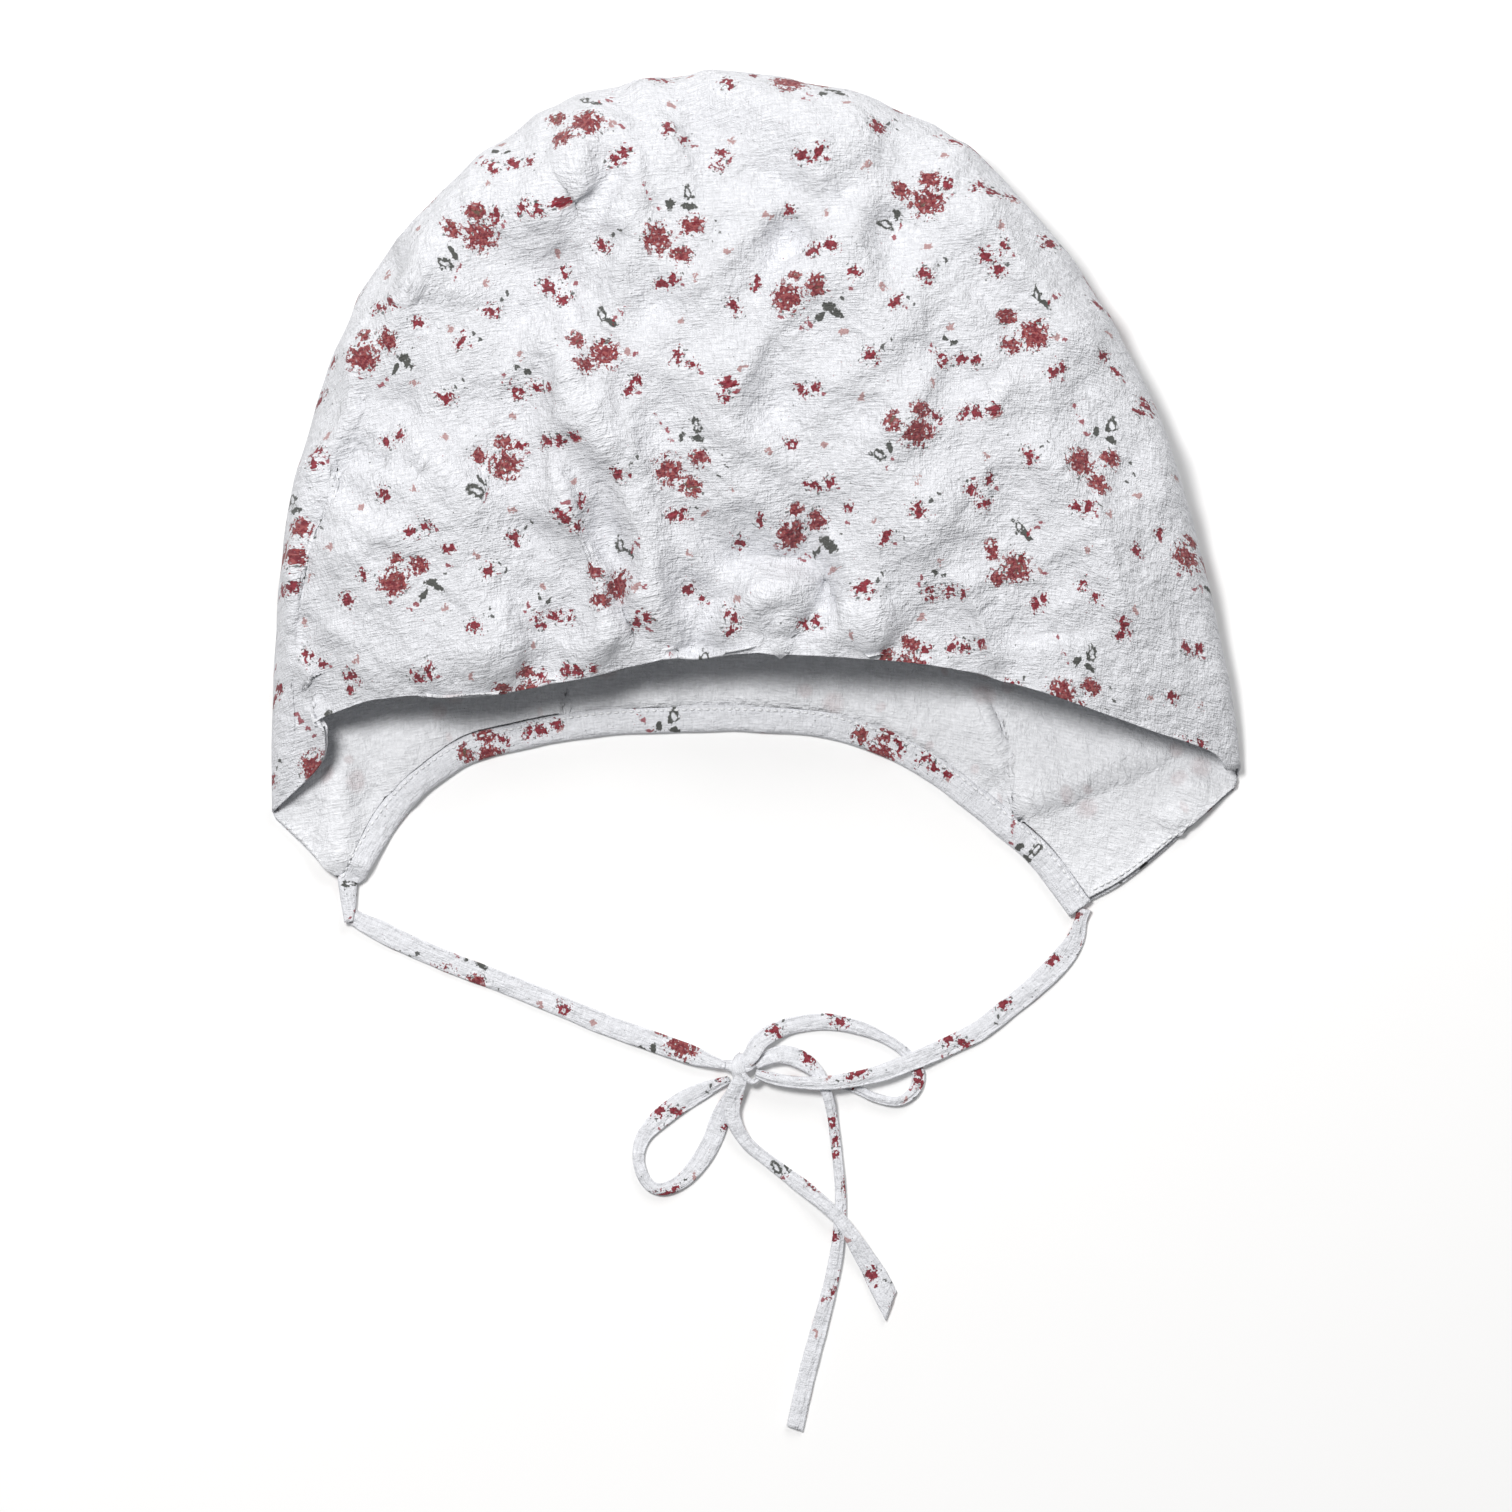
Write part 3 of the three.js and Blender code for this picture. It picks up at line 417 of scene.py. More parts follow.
# Unevenness of the binding's width and pucker: amount, distance apart and seed
BINDING_UNEVEN = (0.05, 0.009, 31)
BINDING_PUCKER = (0.07, 0.0035, 32)
# Section of the binding: across the strip, as shares of its width, and up, as shares of its height
BINDING_PROFILE = (
    (-0.14, 0.66), (-0.08, 0.86), (0.05, 0.97), (0.28, 1.0), (0.55, 1.0), (0.8, 0.94),
    (0.94, 0.78), (1.0, 0.5), (0.96, 0.2), (0.85, 0.04), (0.5, 0.02), (0.1, 0.02),
    (-0.02, 0.06), (-0.08, 0.4),
)

# Stitches: rings and corners of one, and how flat its round is
STITCH_RINGS = 7
STITCH_SIDES = 8
STITCH_FLATNESS = 0.75
# The row on the binding lies this far out from the neck edge, the rows on the side hems this far
# in from the lower edge and above the lining
BINDING_ROW_OUT = 0.0004
HEM_ROW_IN = 0.0029
HEM_ROW_ABOVE = 0.0003
# Sections where the row on the binding starts and ends, and those on the side hems
BINDING_ROW = (LEFT_CHIN + 0.1, RIGHT_CHIN - 0.05)
HEM_ROWS = ((0.35, LEFT_CHIN - 0.1), (RIGHT_CHIN + 0.08, LAST - 0.4))

# The print: one chart point is CHART_POINT wide, and the chart repeats after so many points
CHART_POINT = 0.0002364
REPEAT_ACROSS = 411
REPEAT_DOWN = 231
# Turn, in radians, of the weave's wave over one chart point
WEAVE_TURN = 2.42
# How fast the threads' unevenness changes along each axis, for threads one way and the other,
# and the share of each
THREADS_ACROSS = (0.08, 0.55, 1)
THREADS_ALONG = (0.55, 0.1, 1)
SHARE_ACROSS = 0.6
# Darkest and lightest thread, as shares of the cloth's colour
THREAD_SHADES = (0.86, 1.07)
# Level and contrast of the threads' unevenness, and how much painted shade the crossings add to it
THREAD_LEVEL = 0.4
THREAD_CONTRAST = 4.5
CROSSING_PAINTED_SHADE = 0.25
# How fast each unevenness of the cloth and of its print changes, over one chart point
CREASE_NOISE = 0.05
FUZZ_NOISE = 0.9
OUTLINE_NOISE = 0.13
STROKE_NOISE = 0.2
RAG_NOISE = 0.55
PETAL_NOISE = 0.27
BROWN_NOISE = 0.03
DAB_NOISE = 0.31
# The grey dabs are the red ones' noise, moved by this much
GREY_DABS_MOVED = (57, 23, 9)
# The cloth is matt, with a faint sheen
CLOTH_ROUGHNESS = 0.88
CLOTH_GLOSS = 0.25
CLOTH_SHEEN = 0.12
SHEEN_ROUGHNESS = 0.5
# How strongly the print shows through the lining, how wide its spots are there, and how fast
# they come and go
BEHIND_INK = 0.35
BEHIND_WIDTH = 1.3
BEHIND_NOISE = 0.1
# Height of the creases, the threads and the fine fuzz, as shares of each cloth's relief
CREASE_RELIEF = 2.4
THREAD_RELIEF = 0.85
FUZZ_RELIEF = 0.2
RELIEF_STRENGTH = 0.8
PRINTED_RELIEF = 0.0014
LINING_RELIEF = 0.0009
TAPE_RELIEF = 0.0009
# How close the twist of the sewing thread lies
TWIST_SCALE = 3000

# Place on the chart of the middle of the bonnet
CHART_START = (379.5, 199)
# Bend of the printed rows: slope and curve, and the column that they are measured from
ROW_BEND = (-0.0284, 2.47e-4, 34.5)
# A dip of the rows at the right: depth, place and reach
ROW_DIP = (15, 293.5, 110)
# The columns fan out a little: how much, and the place across and down that they fan out from
COLUMN_FAN = (0.00034, 43.5, -50)
# Where the chart starts down the back panel, and across the underside of the band
BACK_CHART_DOWN = 90
UNDERSIDE_CHART_ACROSS = 300

# Spots of the print on the chart: across, down, half length, half width, turn in degrees
ROSES = (
    (235, 43, 13, 12, 20), (209, 26, 8.5, 7, 60), (214, 54, 9, 7.5, 10), (292, 165, 13, 12, 50),
    (323, 154, 9, 8, 0), (313, 182, 10, 8.5, 30), (128, 138, 13.5, 12.5, 0), (103, 125, 9, 7, 70),
    (129, 115, 9, 7, 20), (2, 1, 13.5, 12, 30), (29, -10, 9.5, 8, 60), (7, -21, 6.5, 5, 0),
)
BUDS = (
    (80, 61, 6.5, 5, 40), (130, 213, 6.5, 5, 40), (240, 164, 6.5, 5, 40), (100, 8, 6, 4, 120),
    (173, 120, 6, 4, 120), (257, 79, 6, 4, 120), (304, 209, 6, 4, 120), (147, 66, 6.5, 4.5, 60),
    (166, 65, 5.5, 4.5, 10), (184, 197, 6.5, 4.5, 40), (197, 211, 6, 4.5, 0), (201, 186, 5.5, 3.5, 90),
    (3, 145, 5.5, 4.5, 0), (14, 92, 6, 4, 30), (28, 90, 5, 4, 80), (25, 187, 6, 4, 20),
    (42, 184, 5, 4, 70), (186, 122, 5.5, 4, 50), (202, 119, 4.5, 3.5, 0), (145, 121, 5, 4, 30),
    (265, 72, 5, 3.5, 60), (293, 210, 5.5, 4, 20), (306, 52, 5.5, 4, 110), (321, 63, 4.5, 3.5, 40),
    (353, 83, 6, 4.5, 30), (360, 7, 6, 4.5, 60), (350, 96, 4.5, 3.5, 0), (181, 68, 4.5, 3.5, 90),
    (62, 210, 5, 3.5, 20), (382, 216, 5, 3.5, 100),
)
LEAVES = (
    (235, 3, 8, 4.2, 75), (244, 12, 6, 3, 40), (321, 121, 8, 4.6, 80), (321, 135, 6, 3.2, 20),
    (306, 131, 5.5, 3, 110), (91, 158, 8, 4.2, 25), (101, 150, 6.5, 3, 60), (40, 10, 7, 4, 15),
    (47, 17, 6, 3.4, 50), (31, 20, 6.5, 3, -35), (151, 44, 4, 2.4, 60), (160, 49, 3.6, 2.2, -20),
)
# Rims of the spots: how sharply their ink ends, and how ragged it is
ROSE_RIM = (7.3, 12.5)
BUD_RIM = (3.8, 10.5)
LEAF_RIM = (4.0, 5.0)
HOLLOW_RIM = (2.4, 2.0)
STAR_RIM = (3.2, 8.0)
GREY_SPECK_RIM = (2.1, 5.0)
RED_SPECK_RIM = (2.0, 6.0)
# How strongly the spots and the scattered dabs are printed
FLOWER_INK = 0.96
LEAF_INK = 0.95
STAR_INK = 0.75
GREY_SPECK_INK = 0.9
RED_INK = 0.85
GREY_DAB_INK = 0.8
# Level of the noise where dabs start, red and grey, and how much more of them lie near flowers
RED_DABS_FROM = 0.757
GREY_DABS_FROM = 0.735
NEAR_FLOWERS = 0.13
# How far the print's outlines wander, in chart points
PRINT_WANDER = 9.0
# How many of the buds show through the lining
BUDS_BEHIND = 12
# Hollow middles of the outlined leaves
LEAF_HOLLOWS = ((235, 3, 4.6, 1.7, 75), (321, 121, 4.6, 2.0, 80), (91, 158, 4.6, 1.7, 25))
RED_SPECKS = (
    (247, 9, 3, 1.6, 110), (254, 4, 2.6, 1.6, 60), (258, -2, 2, 1.3, 0), (265, 45, 2.6, 2, 0),
    (281, 109, 2.2, 1.4, 90), (285, 117, 2.8, 1.5, 60), (291, 125, 2.6, 1.6, 30), (296, 134, 2.2, 1.4, 0),
    (145, 135, 3, 1.5, 60), (151, 130, 2.6, 1.4, 20), (104, 163, 3, 1.6, 120), (99, 171, 2.4, 1.4, 90),
    (21, 26, 3, 1.6, 60), (15, 31, 2.6, 1.4, 20), (138, 49, 2.8, 1.5, 100), (134, 56, 2, 1.2, 60),
    (109, 14, 2.4, 1.4, 30), (182, 126, 2.4, 1.4, 30), (266, 85, 2.4, 1.4, 30), (313, 215, 2.4, 1.4, 30),
    (186, 186, 2.4, 1.3, 20), (210, 196, 2.2, 1.3, 80), (-4, 20, 2.2, 1.4, 0), (60, -4, 2.4, 1.4, 40),
    (36, 96, 2.2, 1.3, 0), (50, 190, 2.2, 1.3, 40), (330, 70, 2.2, 1.3, 0), (360, 92, 2.4, 1.4, 80),
)
GREY_SPECKS = (
    (91, 52, 2.6, 1.3, 120), (97, 46, 2.2, 1.2, 60), (99, 56, 1.8, 1.1, 0), (141, 204, 2.6, 1.3, 120),
    (147, 198, 2.2, 1.2, 60), (251, 155, 2.6, 1.3, 120), (257, 149, 2.2, 1.2, 60), (112, 3, 2.2, 1.2, 40),
    (118, 10, 2, 1.2, 100), (185, 115, 2.2, 1.2, 40), (191, 122, 2, 1.2, 100), (269, 74, 2.2, 1.2, 40),
    (316, 204, 2.2, 1.2, 40), (238, 32, 4, 3, 30), (345, 152, 2, 1.3, 0), (349, 163, 2.2, 1.2, 60),
    (342, 172, 2, 1.2, 20), (53, 3, 2, 1.2, 30), (205, 205, 2.2, 1.2, 0), (178, 188, 2.2, 1.2, 60),
)
STARS = (
    (36, 147, 3.2, 3, 0), (52, 36, 3.4, 3, 0), (72, 102, 3.2, 3, 0), (90, 223, 3.2, 3, 0),
    (130, 184, 3.2, 3, 0), (140, 90, 3.2, 3, 0), (155, 33, 3.2, 3, 0), (196, 165, 3.2, 3, 0),
    (205, 124, 3, 3, 0), (258, 44, 3.2, 3, 0), (310, 17, 3.4, 3, 0), (327, 209, 3.2, 3, 0),
    (355, 185, 3.2, 3, 0), (362, 68, 3.2, 3, 0), (391, 150, 3.2, 3, 0),
)


class BonnetSizes(bpy.types.PropertyGroup):
    """Sizes of the bonnet, its cloths and its tapes."""

    width: bpy.props.FloatProperty(
        name="Width", description="Across the widest part, lying flat",
        default=0.230, unit="LENGTH")
    depth: bpy.props.FloatProperty(
        name="Depth", description="From the crown to the chins, lying flat",
        default=0.201, unit="LENGTH")
    crown_height: bpy.props.FloatProperty(
        name="Crown height", description="Height that the shares of the section table are of",
        default=0.036, unit="LENGTH")
    back_panel_height: bpy.props.FloatProperty(
        name="Back panel height", description="From the neck edge to the top of the back panel",
        default=0.108, unit="LENGTH")
    cloth: bpy.props.FloatProperty(
        name="Cloth", description="Thickness of the printed cotton and of the lining",
        default=0.0005, unit="LENGTH")
    lining_depth: bpy.props.FloatProperty(
        name="Lining depth", description="From the outside of the bonnet to its lining",
        default=0.0011, unit="LENGTH")
    seam_gap: bpy.props.FloatProperty(
        name="Seam gap", description="Width of the line between two sewn pieces",
        default=0.00025, unit="LENGTH")
    binding_width: bpy.props.FloatProperty(
        name="Binding width", description="Width of the strip that binds the neck edge",
        default=0.0057, unit="LENGTH")
    binding_height: bpy.props.FloatProperty(
        name="Binding height", description="Thickness of the folded binding",
        default=0.0023, unit="LENGTH")
    tie_thickness: bpy.props.FloatProperty(
        name="Tie thickness", description="Thickness of the folded and sewn tie tape",
        default=0.0011, unit="LENGTH")
    stitch_length: bpy.props.FloatProperty(
        name="Stitch length", description="Length of one stitch on top of the cloth",
        default=0.0013, unit="LENGTH")
    stitch_gap: bpy.props.FloatProperty(
        name="Stitch gap", description="Space between two stitches",
        default=0.0005, unit="LENGTH")
    thread: bpy.props.FloatProperty(
        name="Thread", description="Width of the sewing thread",
        default=0.0006, unit="LENGTH")


class BonnetColours(bpy.types.PropertyGroup):
    """Colours of the cloths, the print and the floor."""

    cotton: bpy.props.FloatVectorProperty(
        name="Cotton", description="Ground of the printed cotton",
        subtype="COLOR", size=3, default=(0.74, 0.75, 0.785))
    lining: bpy.props.FloatVectorProperty(
        name="Lining", description="White of the lining",
        subtype="COLOR", size=3, default=(0.80, 0.81, 0.84))
    rose: bpy.props.FloatVectorProperty(
        name="Rose", description="Light petals of the roses",
        subtype="COLOR", size=3, default=(0.30, 0.062, 0.062))
    rose_shade: bpy.props.FloatVectorProperty(
        name="Rose shade", description="Dark petals of the roses and buds",
        subtype="COLOR", size=3, default=(0.16, 0.005, 0.014))
    bud: bpy.props.FloatVectorProperty(
        name="Bud", description="Bright red of buds and sprigs",
        subtype="COLOR", size=3, default=(0.26, 0.018, 0.033))
    olive: bpy.props.FloatVectorProperty(
        name="Olive", description="Brown shade in some of the roses",
        subtype="COLOR", size=3, default=(0.12, 0.068, 0.045))
    leaf: bpy.props.FloatVectorProperty(
        name="Leaf", description="Grey green of leaves and stems",
        subtype="COLOR", size=3, default=(0.055, 0.058, 0.05))
    star: bpy.props.FloatVectorProperty(
        name="Star", description="Small pink flowers",
        subtype="COLOR", size=3, default=(0.36, 0.14, 0.13))
    thread: bpy.props.FloatVectorProperty(
        name="Thread", description="White sewing thread",
        subtype="COLOR", size=3, default=(0.82, 0.83, 0.85))
    floor: bpy.props.FloatVectorProperty(
        name="Floor", description="Pale floor",
        subtype="COLOR", size=3, default=(0.79, 0.79, 0.79))


class Link:
    """A socket of a finish that takes Python's operators."""

    def __init__(self, finish, socket):
        self.finish = finish
        self.socket = socket

    def maths(self, operation, *values):
        return self.finish.node("ShaderNodeMath", {"operation": operation}, values)

    def __add__(self, other):
        return self.maths("ADD", self, other)

    def __sub__(self, other):
        return self.maths("SUBTRACT", self, other)

    def __mul__(self, other):
        return self.maths("MULTIPLY", self, other)

    def __pow__(self, other):
        return self.maths("POWER", self, other)

    def __rsub__(self, other):
        return self.maths("SUBTRACT", other, self)

    __radd__ = __add__
    __rmul__ = __mul__

    def least(self, other):
        return self.maths("MINIMUM", self, other)

    def most(self, other):
        return self.maths("MAXIMUM", self, other)

    def kept(self):
        """The value, held between 0 and 1."""
        return self.finish.node("ShaderNodeClamp", {}, [self])

    def sine(self):
        return self.maths("SINE", self)

    def split(self):
        """The three numbers of a vector."""
        return [self.finish.node("ShaderNodeSeparateXYZ", {}, [self], k) for k in range(3)]


class Finish:
    """A material, made of nodes."""

    def __init__(self, name):
        self.material = bpy.data.materials.new(name)
        self.material.use_nodes = True
        self.tree = self.material.node_tree
        self.surface = self.tree.nodes["Principled BSDF"]

    def node(self, kind, settings, values, output=0):
        """Adds a node. Its settings come first, then the values or links of its sockets."""
        node = self.tree.nodes.new(kind)
        for name, value in settings.items():
            setattr(node, name, value)
        for name, value in values.items() if isinstance(values, dict) else enumerate(values):
            if isinstance(value, Link):
                self.tree.links.new(value.socket, node.inputs[name])
            else:
                node.inputs[name].default_value = value
        return Link(self, node.outputs[output])

    def vector(self, operation, *values):
        return self.node("ShaderNodeVectorMath", {"operation": operation}, values)

    def attribute(self, name):
        return self.node("ShaderNodeAttribute", {"attribute_name": name}, {}, "Vector")

    def noise(self, place, scale, detail=2.0, roughness=0.5, output=0):
        return self.node("ShaderNodeTexNoise", {}, {
            "Vector": place, "Scale": scale, "Detail": detail, "Roughness": roughness}, output)

    def mixed(self, share, first, second):
        """A colour between two colours."""
        colours = [c if isinstance(c, Link) else (*c, 1.0) for c in (first, second)]
        return self.node("ShaderNodeMix", {"data_type": "RGBA"}, {
            0: share, 6: colours[0], 7: colours[1]}, 2)

    def bump(self, height, distance, strength=1.0):
        return self.node("ShaderNodeBump", {}, {
            "Strength": strength, "Distance": distance, "Height": height})

    def set(self, **values):
        """Sets or links sockets of the surface, whose names are given with _ for a space."""
        for name, value in values.items():
            socket = self.surface.inputs[name.replace("_", " ").title()]
            if isinstance(value, Link):
                self.tree.links.new(value.socket, socket)
            else:
                socket.default_value = value
        return self.material


def nearest_spot(finish, across, down, spots):
    """Square of the distance to the nearest spot of the chart: 0 in its middle, 1 at its rim."""
    nearest = None
    for start in range(0, len(spots), 3):
        three = [spots[min(start + k, len(spots) - 1)] for k in range(3)]
        x, y, long, wide, turn = (np.array(values, float) for values in zip(*three))
        c = np.cos(np.radians(turn))
        s = np.sin(np.radians(turn))
        half = (REPEAT_ACROSS / 2,) * 3
        dx = finish.vector("WRAP", finish.vector("SUBTRACT", across, x), half, [-h for h in half])
        half = (REPEAT_DOWN / 2,) * 3
        dy = finish.vector("WRAP", finish.vector("SUBTRACT", down, y), half, [-h for h in half])
        lengthways = finish.vector("MULTIPLY_ADD", dy, s / long, finish.vector("MULTIPLY", dx, c / long))
        sideways = finish.vector("MULTIPLY_ADD", dy, c / wide, finish.vector("MULTIPLY", dx, -s / wide))
        square = finish.vector(
            "MULTIPLY_ADD", sideways, sideways, finish.vector("MULTIPLY", lengthways, lengthways))
        nearest = square if nearest is None else finish.vector("MINIMUM", nearest, square)
    x, y, z = nearest.split()
    return x.least(y).least(z)


def weave(finish, place):
    """Threads of a plain weave: their unevenness, and a painted shade, darker and lighter where they cross
    each other.
    """
    across = finish.noise(finish.vector("MULTIPLY", place, THREADS_ACROSS), 1.0, 2.0, 0.6)
    along = finish.noise(finish.vector("MULTIPLY", place, THREADS_ALONG), 1.0, 2.0, 0.6)
    u, v, _ = place.split()
    # painted shade of the threads' crossings, a fine checker that goes into the colour only
    crossing_painted_shade = (u * WEAVE_TURN).sine() * (v * WEAVE_TURN).sine()
    return across * SHARE_ACROSS + along * (1 - SHARE_ACROSS), crossing_painted_shade


def printed(finish, place, ground, colours):
    """Colour of the printed cotton: small roses, buds, leaves and specks."""
    jitter = finish.noise(place, OUTLINE_NOISE, 3.0, 0.6, 1)
    wander = np.array((PRINT_WANDER, PRINT_WANDER, 0))
    bent = finish.vector("MULTIPLY_ADD", jitter, wander, finish.vector("SUBTRACT", place, wander / 2))
    u, v, _ = bent.split()
    across = finish.node("ShaderNodeCombineXYZ", {}, [u, u, u])
    down = finish.node("ShaderNodeCombineXYZ", {}, [v, v, v])
    strokes = finish.noise(finish.vector("MULTIPLY", place, (1, 0.8, 1)), STROKE_NOISE, 1.0, 0.6)
    rag = (strokes - 0.5) * 1.7 + (finish.noise(place, RAG_NOISE, 1.0, 0.7) - 0.5) * 0.7
    rose_away = nearest_spot(finish, across, down, ROSES) ** 0.5
    bud_away = nearest_spot(finish, across, down, BUDS) ** 0.5

    def shape(away, rim):
        """Spots with ragged rims, where away is the distance from the nearest one's middle."""
        return ((1.0 - away) * rim[0] + rag * rim[1] + 0.5).kept()

    def spots(table, rim):
        return shape(nearest_spot(finish, across, down, table) ** 0.5, rim)

    petals = ((finish.noise(place, PETAL_NOISE, 2.0, 0.6) - 0.5) * 9.0 + 0.4).kept()
    brown = ((finish.noise(place, BROWN_NOISE, 1.0) - 0.5) * 8.0).kept()
    rose_colour = finish.mixed(petals, colours.rose_shade, colours.rose)
    rose_colour = finish.mixed(((0.5 - strokes) * 8.0).kept() * brown, rose_colour, colours.olive)
    bud_colour = finish.mixed(petals, colours.rose_shade, colours.bud)
    near = ((1.9 - rose_away) * 1.6).kept().most(((2.7 - bud_away) * 1.1).kept())
    dabs = finish.noise(place, DAB_NOISE, 1.0)
    red_dabs = ((dabs + near * NEAR_FLOWERS - RED_DABS_FROM) * 16.0).kept()
    dabs = finish.noise(finish.vector("ADD", place, GREY_DABS_MOVED), DAB_NOISE, 1.0)
    grey_dabs = ((dabs + near * NEAR_FLOWERS - GREY_DABS_FROM) * 16.0).kept()
    leaves = (spots(LEAVES, LEAF_RIM) - spots(LEAF_HOLLOWS, HOLLOW_RIM)).kept()
    colour = finish.mixed(grey_dabs * GREY_DAB_INK, ground, colours.leaf)
    colour = finish.mixed(red_dabs * RED_INK, colour, colours.bud)
    colour = finish.mixed(spots(STARS, STAR_RIM) * STAR_INK, colour, colours.star)
    colour = finish.mixed(leaves * LEAF_INK, colour, colours.leaf)
    colour = finish.mixed(spots(GREY_SPECKS, GREY_SPECK_RIM) * GREY_SPECK_INK, colour, colours.leaf)
    colour = finish.mixed(spots(RED_SPECKS, RED_SPECK_RIM) * RED_INK, colour, colours.bud)
    colour = finish.mixed(shape(bud_away, BUD_RIM) * FLOWER_INK, colour, bud_colour)
    thin = 1.0 - ((strokes - 0.62) * 8.0).kept() * 0.5
    return finish.mixed(shape(rose_away, ROSE_RIM) * thin * FLOWER_INK, colour, rose_colour)


def cotton(name, colours, ground, depth, has_print=True):
    """Fine plain-woven cotton, printed or showing the print faintly from behind."""
    finish = Finish(name)
    place = finish.attribute("print_place")
    threads, crossing_painted_shade = weave(finish, place)
    shades = [[share * c for c in ground] for share in THREAD_SHADES]
    # the threads' own uneven tone, plus the painted shade of their crossings
    uneven = (threads - THREAD_LEVEL) * THREAD_CONTRAST + crossing_painted_shade * CROSSING_PAINTED_SHADE
    plain = finish.mixed(uneven, *shades)
    if has_print:
        colour = printed(finish, place, plain, colours)
    else:
        u, v, _ = place.split()
        across = finish.node("ShaderNodeCombineXYZ", {}, [u, u, u])
        down = finish.node("ShaderNodeCombineXYZ", {}, [v, v, v])
        away = nearest_spot(finish, across, down, ROSES + BUDS[:BUDS_BEHIND])
        faint = (BEHIND_WIDTH - away).kept() * finish.noise(place, BEHIND_NOISE, 2.0)
        colour = finish.mixed(faint * BEHIND_INK, plain, colours.star)
    creases = finish.noise(place, CREASE_NOISE, 4.0, 0.6)
    fuzz = finish.noise(place, FUZZ_NOISE, 1.0)
    relief = creases * CREASE_RELIEF + threads * THREAD_RELIEF + fuzz * FUZZ_RELIEF
    finish.set(
        base_color=colour, roughness=CLOTH_ROUGHNESS, sheen_weight=CLOTH_SHEEN,
        sheen_roughness=SHEEN_ROUGHNESS, normal=finish.bump(relief, depth, RELIEF_STRENGTH))
    finish.surface.inputs["Specular IOR Level"].default_value = CLOTH_GLOSS
    return finish.material


def thread_finish(colours):
    """White sewing thread with its twist."""
    finish = Finish("white_thread")
    place = finish.node("ShaderNodeTexCoord", {}, {}, "Object")
    twist = finish.noise(finish.vector("MULTIPLY", place, (TWIST_SCALE,) * 3), 1.0, 1.0)
    colour = finish.mixed(twist, [0.9 * c for c in colours.thread], colours.thread)
    return finish.set(base_color=colour, roughness=0.6, normal=finish.bump(twist, 0.0001, 0.5))


def floor_finish(colours):
    """Smooth pale floor."""
    finish = Finish("pale_floor")
    place = finish.node("ShaderNodeTexCoord", {}, {}, "Object")
    grain = finish.noise(place, 40.0, 2.0)
    colour = finish.mixed(grain, [0.99 * c for c in colours.floor], colours.floor)
    finish.surface.inputs["Emission Color"].default_value = (1, 1, 1, 1)
    finish.surface.inputs["Emission Strength"].default_value = FLOOR_GLOW
    return finish.set(base_color=colour, roughness=0.95)


def section_value(column, u):
    """One column of the section table at places between its rows, on a smooth curve.
    The lower edge turns sharply at the chins."""
    values = np.array([row[SECTION_COLUMNS.index(column)] for row in SECTIONS])
    i = np.minimum(u.astype(int), LAST - 1)
    chins = (LEFT_CHIN, RIGHT_CHIN) if column.startswith("edge") else ()
    b = values[i]
    c = values[i + 1]
    a = np.where((i == 0) | np.isin(i, chins), 2 * b - c, values[np.maximum(i - 1, 0)])
    last = (i + 1 == LAST) | np.isin(i + 1, chins)
    d = np.where(last, 2 * c - b, values[np.minimum(i + 2, LAST)])
    f = u - i
    f2 = f * f
    f3 = f2 * f
    return ((2 * f3 - 3 * f2 + 1) * b + (f3 - 2 * f2 + f) * (c - a) / 2
            + (3 * f2 - 2 * f3) * c + (f3 - f2) * (d - b) / 2)


def plan_point(sizes, u, line):
    """A point of the fold, the hem or the lower edge, seen from above."""
    x = section_value(line + "_x", u) * sizes.width
    y = section_value(line + "_y", u) * sizes.depth
    return np.stack([x, y], -1)


def smooth_step(value):
    """Eases from 0 at 0 to 1 at 1, and stays there."""
    value = np.clip(value, 0, 1)
    return value * value * (3 - 2 * value)


def fold_lift(folds, x, y):
    """Height that the folds add at points of the cloth."""
    lift = np.zeros_like(x)
    for _, rise, left, right, sharpness, path in folds:
        path = np.array(path) / 1000
        steps = np.diff(path, axis=0)
        lengths = np.hypot(*steps.T)
        nearest = np.full(x.shape, np.inf)
        across = np.zeros_like(x)
        share = np.zeros_like(x)
        travelled = 0.0
        for start, step, length in zip(path, steps, lengths):
            dx = x - start[0]
            dy = y - start[1]
            t = np.clip((dx * step[0] + dy * step[1]) / length ** 2, 0, 1)
            distance = np.hypot(dx - t * step[0], dy - t * step[1])
            closer = distance < nearest
            side = np.sign(dx * step[1] - dy * step[0])
            nearest = np.where(closer, distance, nearest)
            across = np.where(closer, side * distance, across)
            share = np.where(closer, (travelled + t * length) / lengths.sum(), share)
            travelled += length
        reach = np.where(across < 0, left, right) / 1000
        fade = smooth_step(share * FOLD_START) * smooth_step((1 - share) * FOLD_END)
        lift += FOLD_GAIN * rise / 1000 * fade * np.exp(-np.abs(across / reach) ** sharpness)
    return lift


